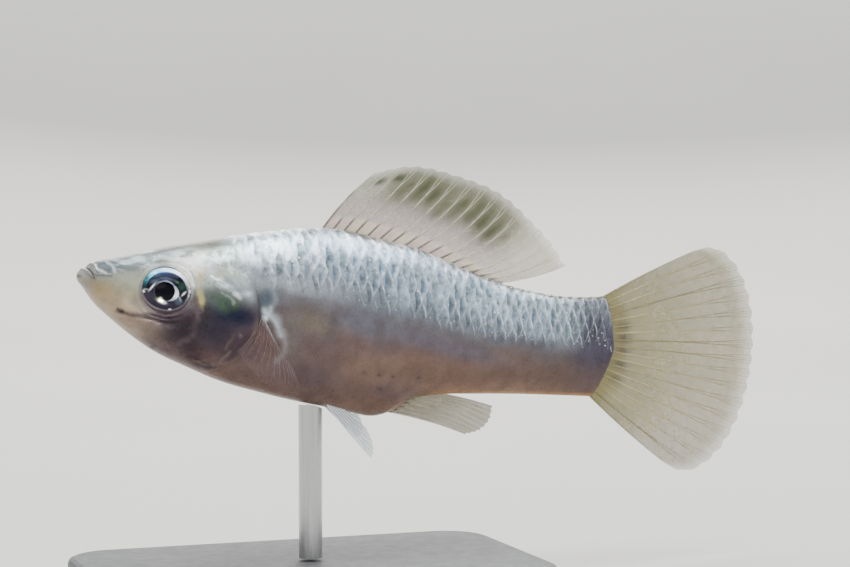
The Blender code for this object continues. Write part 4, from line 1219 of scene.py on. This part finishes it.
MEMBRANE_HALF = 0.0008
MEMBRANE_SAG = 0.0010
SCALLOP = 0.018
SUNK = 0.006
RAY_SIDES = 7
RAY_ROWS = 44
DORSAL_RAYS = 17
DORSAL_MARGIN = [
    (0.482, 0.236), (0.545, 0.257), (0.640, 0.254), (0.725, 0.236),
    (0.793, 0.198), (0.845, 0.161), (0.878, 0.128),
]
ANAL_TIPS = [(0.722, -0.188), (0.752, -0.176), (0.766, -0.158), (0.768, -0.134)]


def directions(turn):
    return np.column_stack([np.cos(turn), np.sin(turn)])


def along_line(points, share):
    dense = smooth_line(points, 200)
    at = np.linspace(0, 1, 200)
    return np.column_stack([np.interp(share, at, dense[:, k]) for k in range(2)])


def dorsal_ends(even):
    x = (np.arange(DORSAL_RAYS - 1) + 0.5) / (DORSAL_RAYS - 1)
    steps = np.cumsum(9.5 + 4 * np.sin(math.pi * x) - 2.5 * x)
    root_shares = np.concatenate([[0], steps / steps[-1]])
    share = np.interp(even * (DORSAL_RAYS - 1), np.arange(DORSAL_RAYS), root_shares)
    s = between(0.401, 0.724, share)
    start = np.column_stack([s, PROFILE[0](s) - SUNK])
    return start, along_line(DORSAL_MARGIN, even), directions(np.radians(between(63, 8, share)))


def anal_ends(share):
    s = between(0.557, 0.640, share)
    start = np.column_stack([s, PROFILE[1](s) + SUNK])
    return start, along_line(ANAL_TIPS, share), directions(np.radians(between(-3, -1, share)))


def caudal_ends(share):
    x = 2 * share - 1
    back, belly, widest = (float(PROFILE[k](TAIL_ARC_START)) for k in (0, 1, 3))
    z = widest + x * np.where(x > 0, back - widest, widest - belly) * 0.97
    s = TAIL_ARC_START + TAIL_ARC_DEPTH * (1 - x**2) - SUNK
    turn = math.radians(29) * np.sign(x) * np.abs(x) ** 1.1
    reach = between(0.222, 0.347, np.sqrt(np.clip(1 - np.abs(x) ** 2.6, 0, 1))) + SUNK
    start = np.column_stack([s, z])
    return start, start + reach[:, None] * directions(turn), directions(turn * 1.12)


def pectoral_ends(side):
    reach_at = smooth_curve(np.array([0, 0.4, 1]), np.array([0.158, 0.180, 0.120]))

    def ends(share):
        part = share[:, None]
        root = between(np.array([0.303, -0.018]), np.array([0.316, -0.060]), part)
        y = flank_y(root[:, 0], root[:, 1]) - 0.016
        way = between(np.array([-0.45, 0.78, -0.43]), np.array([0.30, 0.75, -0.58]), part)
        way = unit(way) * (1, side, 1)
        start = np.column_stack([root[:, 0], side * y, root[:, 1]])
        return start, start + way * reach_at(share)[:, None], way + (0.22, 0, 0.10)

    return ends


def pelvic_ends(side):
    # the longest ray, the first and the last ray's direction and how far they lean out, in degrees
    longest, first, last, out = {-1: (0.134, -43, -33, 9), 1: (0.118, -33, -20, 16)}[side]

    def ends(share):
        s, y = between(0.437, 0.459, share), between(0.019, 0.013, share)
        z = PROFILE[1](s) + 0.016
        turn = np.radians(between(first, last, share))
        reach = longest * (1 - 0.42 * share**1.5)
        down = reach * np.sin(turn)
        start = np.column_stack([s, side * y, z])
        run = np.column_stack([reach * np.cos(turn), -side * down * math.tan(math.radians(out)), down])
        lean = np.column_stack([np.cos(turn), np.full(len(share), side * 0.1), np.sin(turn * 1.2)])
        return start, start + run, lean

    return ends


def upright(flat):
    return np.stack([flat[..., 0], np.zeros(flat.shape[:-1]), flat[..., 1]], axis=-1)


def fin_points(ends, index, count, t):
    """Points on the fin at ray positions index (0..count-1) and shares t along the rays.

    A ray leaves its start along the lean and bows to its end.
    """
    index = np.asarray(index, float)
    lines = ends(np.clip(index.ravel() / (count - 1), 0, 1))
    start, end, lean = (upright(part) if part.shape[1] == 2 else part for part in lines)
    middle = start + unit(lean) * np.linalg.norm(end - start, axis=-1, keepdims=True) * 0.5
    t = np.asarray(t).ravel()[:, None]
    points = (1 - t) ** 2 * start + 2 * t * (1 - t) * middle + t**2 * end
    return points.reshape(*index.shape, 3)


def fin_normal(ends, index, count, t, step=0.02):
    after, before = np.clip(index + step, 0, count - 1), np.clip(index - step, 0, count - 1)
    a = fin_points(ends, after, count, t) - fin_points(ends, before, count, t)
    outer, inner = np.clip(t + step, 0, 1), np.clip(t - step, 0, 1)
    b = fin_points(ends, index, count, outer) - fin_points(ends, index, count, inner)
    return unit(np.cross(b, a))


def fin_piece(name, points, faces, material, colour, alpha, fish, uv, stands_for=()):
    attributes = {"tint": opaque(colour), "alpha": alpha, "fish": fish}
    piece(name, points, faces, material, attributes, uv, stands_for, sharp=70)


def make_membrane(name, ends, count, material, look, node, rows):
    """A thin closed web between the rays: it sags a little between them and its margin is scalloped."""
    columns = (count - 1) * 6 + 1
    index, t = grid(np.linspace(0, count - 1, columns), np.linspace(0, 1, rows))
    off_ray = np.sin(math.pi * index) ** 2
    t = t * (1 - SCALLOP * off_ray)
    points = fin_points(ends, index, count, t)
    normal = fin_normal(ends, index, count, t)
    half = (MEMBRANE_HALF * (1 - 0.6 * t))[..., None]
    sag = MEMBRANE_SAG * off_ray * np.sin(np.clip(t, 0, 1) * math.pi * 0.9)
    wave = (sag * np.where(np.floor(index) % 2, 1, 0.6))[..., None]
    both = [(points + normal * out).reshape(-1, 3) for out in (wave + half, wave - half)]
    size = columns * rows
    faces = grid_faces(columns, rows) + grid_faces(columns, rows, size, flip=True)
    faces += [[b, a, size + a, size + b] for a, b in rim_pairs(columns, rows)]
    colour, alpha = look(index, t)
    uv = 0.02 + 0.96 * np.stack([index / (count - 1), t], -1).reshape(-1, 2)
    flat = (colour.reshape(-1, 3), alpha.ravel(), points.reshape(-1, 3), uv)
    fin_piece(name, np.concatenate(both), faces, material, *(np.concatenate([v, v]) for v in flat), (node,))


def ray_strands(forked, branches, split):
    """The strands of one ray: where each starts and ends, and which way it turns at either fork."""
    if not forked:
        return [(0.0, 1.0, 0, 0)]
    second = split + (1 - split) * 0.5
    strands = [(0.0, split + 0.02, 0, 0)]
    for sign in (-1, 1):
        if branches > 2:
            strands.append((split - 0.02, second + 0.02, sign, 0))
            strands += [(second - 0.02, 1.0, sign, -1), (second - 0.02, 1.0, sign, 1)]
        else:
            strands.append((split - 0.02, 1.0, sign, 0))
    return strands


def make_rays(name, ends, count, material, look, thick, split, branches=2, plain_rays=()):
    """Tapered, jointed rays that fork once or twice on their way to the margin."""
    points, faces, tints, alphas, uvs = [], [], [], [], []
    start = 0
    for ray in range(count):
        for low, high, fork, fork2 in ray_strands(ray not in plain_rays, branches, split):
            n = max(8, int(RAY_ROWS * (high - low)))
            t = np.linspace(low, high, n)
            second = split + (1 - split) * 0.5
            opening = 0.17 * ease(t, split, 1) * fork + 0.11 * ease(t, second, 1) * fork2
            index = np.clip(ray + opening, 0, count - 1)
            thin = (0.62 if fork2 else 0.78) if fork else 1.0
            joints = 1 - 0.16 * (np.arange(n) % 2)
            radii = thick * thin * (1 - 0.72 * t**1.2) * joints
            radii[-1] *= 0.4
            line, normal = fin_points(ends, index, count, t), fin_normal(ends, index, count, t)
            made, made_faces = tube(line, radii, normal, RAY_SIDES)
            points.append(made)
            faces += [[start + k for k in face] for face in made_faces]
            start += len(made)
            index, t = np.repeat(index, RAY_SIDES), np.repeat(t, RAY_SIDES)
            colour, alpha = look(index, t)
            tints.append(colour)
            alphas.append(alpha)
            aside = 0.002 * np.tile(np.arange(RAY_SIDES), n) / RAY_SIDES
            uvs.append(0.02 + np.column_stack([0.96 * index / (count - 1) + aside, 0.96 * t]))
    fish, tints, alphas, uvs = (np.concatenate(part) for part in (points, tints, alphas, uvs))
    fin_piece(name, fish, faces, material, tints, alphas, fish, uvs)


# The fins' looks: colour and alpha at ray position x and share t along the ray

def dorsal_web(x, t):
    rear, front = ease(x, 10, 14), ease(x, 3.5, 1.0)
    pinkish = ease(cloud(x * 0.8, t * 0.0, 1.0, 83), 0.35, 0.65)
    low = ease(t, 0.27, 0.15)
    off_ray = np.sin(math.pi * x) ** 2
    middle = ease(x, 2.0, 4.0) * ease(x, 13.5, 10.5)
    wander = 0.70 + 0.05 * np.sin(x * 1.7) - 0.006 * (x - 6)
    patchy = ease(clouds(x * 0.1, t, 0.16, 81), 0.10, 0.80)
    blotch = off_ray**0.5 * middle * bell(t, wander, 0.17) * patchy
    lead = np.maximum(bell(t, 0.78, 0.06) * bell(x, 1.3, 0.45), bell(t, 0.82, 0.05) * bell(x, 2.5, 0.45))
    colour = layered(
        plain((112, 112, 82), x),
        ((150, 148, 124), front),
        ((178, 168, 140), rear),
        ((162, 144, 140), ease(t, 0.66, 0.32)),
        ((228, 216, 192), low),
        ((224, 194, 188), 0.8 * pinkish * low),
        ((66, 71, 50), 0.92 * blotch),
        ((54, 70, 48), 0.85 * lead),
    )
    base = ease(t, 0.24, 0.12) * off_ray
    alpha = 0.50 + 0.20 * ease(t, 0.25, 0.70) * (1 - front) * (1 - rear)
    alpha = alpha + 0.30 * blotch + 0.40 * lead + 0.34 * base
    alpha *= (1 - 0.20 * rear * (1 - base)) * (1 - 0.55 * ease(t, 0.86, 1.0))
    return colour, np.clip(alpha, 0, 1)


def dorsal_ray(x, t):
    reach = 0.28 - 0.05 * ease(x, 7, 13) + 0.45 * ease(x, 0.6, 0.3)
    colour = over(plain((214, 212, 188), x), (108, 96, 86), 0.88 * smoothstep((reach - t) / 0.12))
    return colour, np.clip(0.86 - 0.25 * t - 0.40 * bell(t, 0.46, 0.10), 0, 1)


def anal_web(x, t):
    layers = ((158, 152, 132), ease(t, 0.40, 0.70)), ((96, 78, 66), ease(t, 0.12, 0.04))
    return layered(plain((128, 120, 92), x), *layers), np.clip(0.78 - 0.22 * t, 0, 1)


def anal_ray(x, t):
    second = 0.8 * bell(x, 1.2, 0.5) * ease(t, 0.1, 0.2)
    layers = ((104, 88, 72), ease(t, 0.16, 0.06)), ((210, 206, 190), second)
    return layered(plain((204, 198, 178), x), *layers), np.full(x.shape, 0.72)


def caudal_web(x, t):
    colour = layered(
        plain((142, 130, 78), x),
        ((138, 130, 90), 0.80 * ease(t, 0.26, 0.08)),
        ((118, 112, 68), 0.45 * ease(clouds(x * 0.1, t, 0.24, 85), 0.45, 0.65)),
        ((122, 114, 62), 0.5 * ease(x, 9, 14) * ease(t, 0.25, 0.55)),
        ((160, 150, 128), 0.6 * ease(x, 7, 2) * ease(t, 0.3, 0.7)),
    )
    for at, size in ((4.2, 0.5), (6.3, 0.7), (8.4, 0.6), (10.2, 0.8), (12.0, 0.5)):
        colour = over(colour, (58, 50, 34), 0.80 * bell(x, at, size) * bell(t, 0.10, 0.05))
    alpha = 0.72 - 0.20 * ease(t, 0, 0.8) + 0.20 * ease(t, 0.18, 0.04)
    return colour, np.clip(alpha * (1 - 0.5 * ease(t, 0.86, 1.0)), 0, 1)


def caudal_ray(x, t):
    darker = ease(cloud(np.round(x), t * 0.2, 0.7, 87), 0.45, 0.65)
    layers = ((124, 116, 76), 0.75 * darker), ((120, 108, 72), 0.65 * ease(t, 0.18, 0.06))
    return layered(plain((196, 186, 140), x), *layers), np.clip(0.84 - 0.44 * t, 0, 1)


def paired_web(x, t):
    colour = over(plain((180, 190, 198), x), (104, 82, 80), ease(t, 0.05, 0.30))
    return colour, np.clip(0.22 - 0.15 * ease(t, 0.05, 0.35), 0, 1)


def paired_ray(x, t):
    colour = over(plain((214, 222, 230), x), (128, 110, 106), 0.95 * ease(t, 0.05, 0.30))
    return colour, np.clip(0.24 - 0.15 * ease(t, 0, 0.30), 0, 1)


def pelvic_web(x, t):
    return plain((206, 214, 222), x), np.clip(0.52 - 0.15 * t, 0, 1)


def pelvic_ray(x, t):
    return plain((232, 238, 244), x), np.full(x.shape, 0.95)


def make_fins(web, rays):
    # name, side, ends, number of rays, looks of web and rays, rows of the web, and how the rays are built:
    # thickness, where they first fork, ends of a forked ray and the rays that don't fork
    fins = [
        ("dorsal", "", dorsal_ends, DORSAL_RAYS, dorsal_web, dorsal_ray, 40, (0.0023, 0.62, 2, (0,))),
        ("anal", "", anal_ends, 9, anal_web, anal_ray, 40, (0.0017, 0.55)),
        ("caudal", "", caudal_ends, 18, caudal_web, caudal_ray, 48, (0.0021, 0.38, 4, (0, 17))),
    ]
    for side, word in SIDES:
        fins += [
            ("pectoral", "_" + word, pectoral_ends(side), 12, paired_web, paired_ray, 40, (0.0010, 0.5)),
            ("pelvic", "_" + word, pelvic_ends(side), 6, pelvic_web, pelvic_ray, 40, (0.0018, 0.55)),
        ]
    for fin, word, ends, count, web_look, ray_look, rows, build in fins:
        make_membrane(f"{fin}_web{word}", ends, count, web, web_look, f"{fin}_fin{word}", rows)
        make_rays(f"{fin}_rays{word}", ends, count, rays, ray_look, *build)


# The stand, the stage and the light

def plinth_material():
    look = Look("plinth_satin", Specular_IOR_Level=0.3)
    where = look.node("TexCoord", output="Object")
    grain, large = look.noise(where, 900.0, 4.0), look.noise(where, 60.0, 3.0)
    colour = look.mix(look.spread(large, 0.3, 0.7), (0.100, 0.102, 0.106, 1), (0.122, 0.124, 0.128, 1))
    look.set(Base_Color=colour, Roughness=look.spread(grain, 0.3, 0.7, 0.55, 0.66))
    look.bump(grain, 0.12, 0.00002)
    return look.material


def rod_material():
    look = Look("rod_brushed", Metallic=1.0)
    stretch = {"Vector": look.node("TexCoord", output="Object"), "Scale": (2600.0, 2600.0, 70.0)}
    lines = look.noise(look.node("Mapping", stretch), 1.0, 3.0)
    colour = look.mix(look.spread(lines, 0.3, 0.7), (0.42, 0.42, 0.43, 1), (0.47, 0.47, 0.48, 1))
    look.set(Base_Color=colour, Roughness=look.spread(lines, 0.3, 0.7, 0.24, 0.32))
    look.bump(lines, 0.06, 0.00001)
    return look.material


def paper_material():
    look = Look("stage_paper", Roughness=0.85)
    where = look.node("TexCoord", output="Object")
    patches = look.spread(look.noise(where, 6.0, 2.0), 0.3, 0.7)
    colour = look.mix(patches, (0.62, 0.60, 0.56, 1), (0.66, 0.64, 0.60, 1))
    # Painted light: the backdrop is painted paler as it rises, evening out the dimmer light on the upright
    # wall
    wall_painted_lighter = look.spread(look.node("SeparateXYZ", {0: where}, 2), 0.0, 0.22)
    look.set(Base_Color=look.mix(wall_painted_lighter, colour, (0.90, 0.88, 0.85, 1)))
    return look.material


def dress_stand():
    for node, material in (("stand_base", plinth_material()), ("stand_rod", rod_material())):
        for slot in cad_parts[node].material_slots:
            slot.material = material


STAGE_AROUND = 128
STAGE_RADIUS = 0.42
STAGE_TURN = 0.45


def make_stage():
    """A pale floor that turns up softly into a backdrop all round."""
    flat = np.linspace(0.0005, STAGE_RADIUS, 12)
    turn = np.linspace(0, math.pi / 2, 24)[1:]
    radius = np.concatenate([flat, STAGE_RADIUS + STAGE_TURN * np.sin(turn)])[:, None]
    height = np.concatenate([np.zeros(12), STAGE_TURN * (1 - np.cos(turn))])[:, None]
    around = full_turn(STAGE_AROUND)
    heights = np.repeat(height, STAGE_AROUND, axis=1)
    points = np.stack([radius * np.cos(around), radius * np.sin(around), heights], -1)
    mesh = bpy.data.meshes.new("stage")
    mesh.from_pydata(points.reshape(-1, 3).tolist(), [], capped_grid(len(radius), STAGE_AROUND)[:-1])
    mesh.shade_smooth()
    mesh.materials.append(paper_material())
    obj = shown("stage", mesh)


def aim(obj, where, target):
    obj.location = where
    obj.rotation_euler = (Vector(target) - obj.location).to_track_quat("-Z", "Y").to_euler()


def area_light(name, where, target, size, power, colour, beam=180):
    light = bpy.data.lights.new(name, "AREA")
    light.spread = math.radians(beam)
    light.shape = "RECTANGLE"
    light.size, light.size_y = size
    light.energy = power
    light.color = colour
    obj = shown(name, light)
    obj.visible_camera = False
    aim(obj, where, target)


def make_lights():
    fish = (0.01, 0.0, 0.033)
    eye_light_at, eye_at = (-0.02313, -0.01898, 0.01895), (-0.01654, -0.00429, 0.03082)
    area_light("top", (0.0, -0.05, 0.56), fish, (0.80, 0.45), 8.4, (0.93, 0.97, 1.0))
    area_light("fill", (-0.35, -0.62, 0.30), fish, (0.60, 0.40), 1.3, (1.0, 0.97, 0.93))
    area_light("eye_light", eye_light_at, eye_at, (0.0062, 0.0050), 0.00012, (1.0, 0.98, 0.95), 14)
    area_light("backdrop", (0.0, 0.40, 0.62), (0.0, 0.88, 0.20), (1.0, 0.30), 1.6, (1.0, 0.99, 0.97))
    area_light("back", (0.20, 0.45, 0.30), fish, (0.50, 0.40), 2.4, (1.0, 0.98, 0.95))
    world = bpy.data.worlds.new("studio")
    world.use_nodes = True
    background = world.node_tree.nodes["Background"].inputs
    background["Color"].default_value = (0.86, 0.90, 0.95, 1)
    background["Strength"].default_value = 0.27
    bpy.context.scene.world = world


def make_camera():
    data = bpy.data.cameras.new("camera")
    data.lens = 98.88
    data.sensor_width = 36.0
    data.clip_start = 0.01
    obj = shown("camera", data)
    aim(obj, (-0.06960548, -0.22521715, 0.04449034), (0.01236686, 0, 0.03192971))
    bpy.context.scene.camera = obj


SIDES = ((-1, "left"), (1, "right"))
make_camera()
make_skin(skin_material())
scales = scale_material()
for side, word in SIDES:
    make_scales(side, word, scales)
eyes = eye_material()
for side, word in SIDES:
    make_eye(side, word, eyes)
make_fins(membrane_material(), ray_material())
dress_stand()
make_stage()
make_lights()
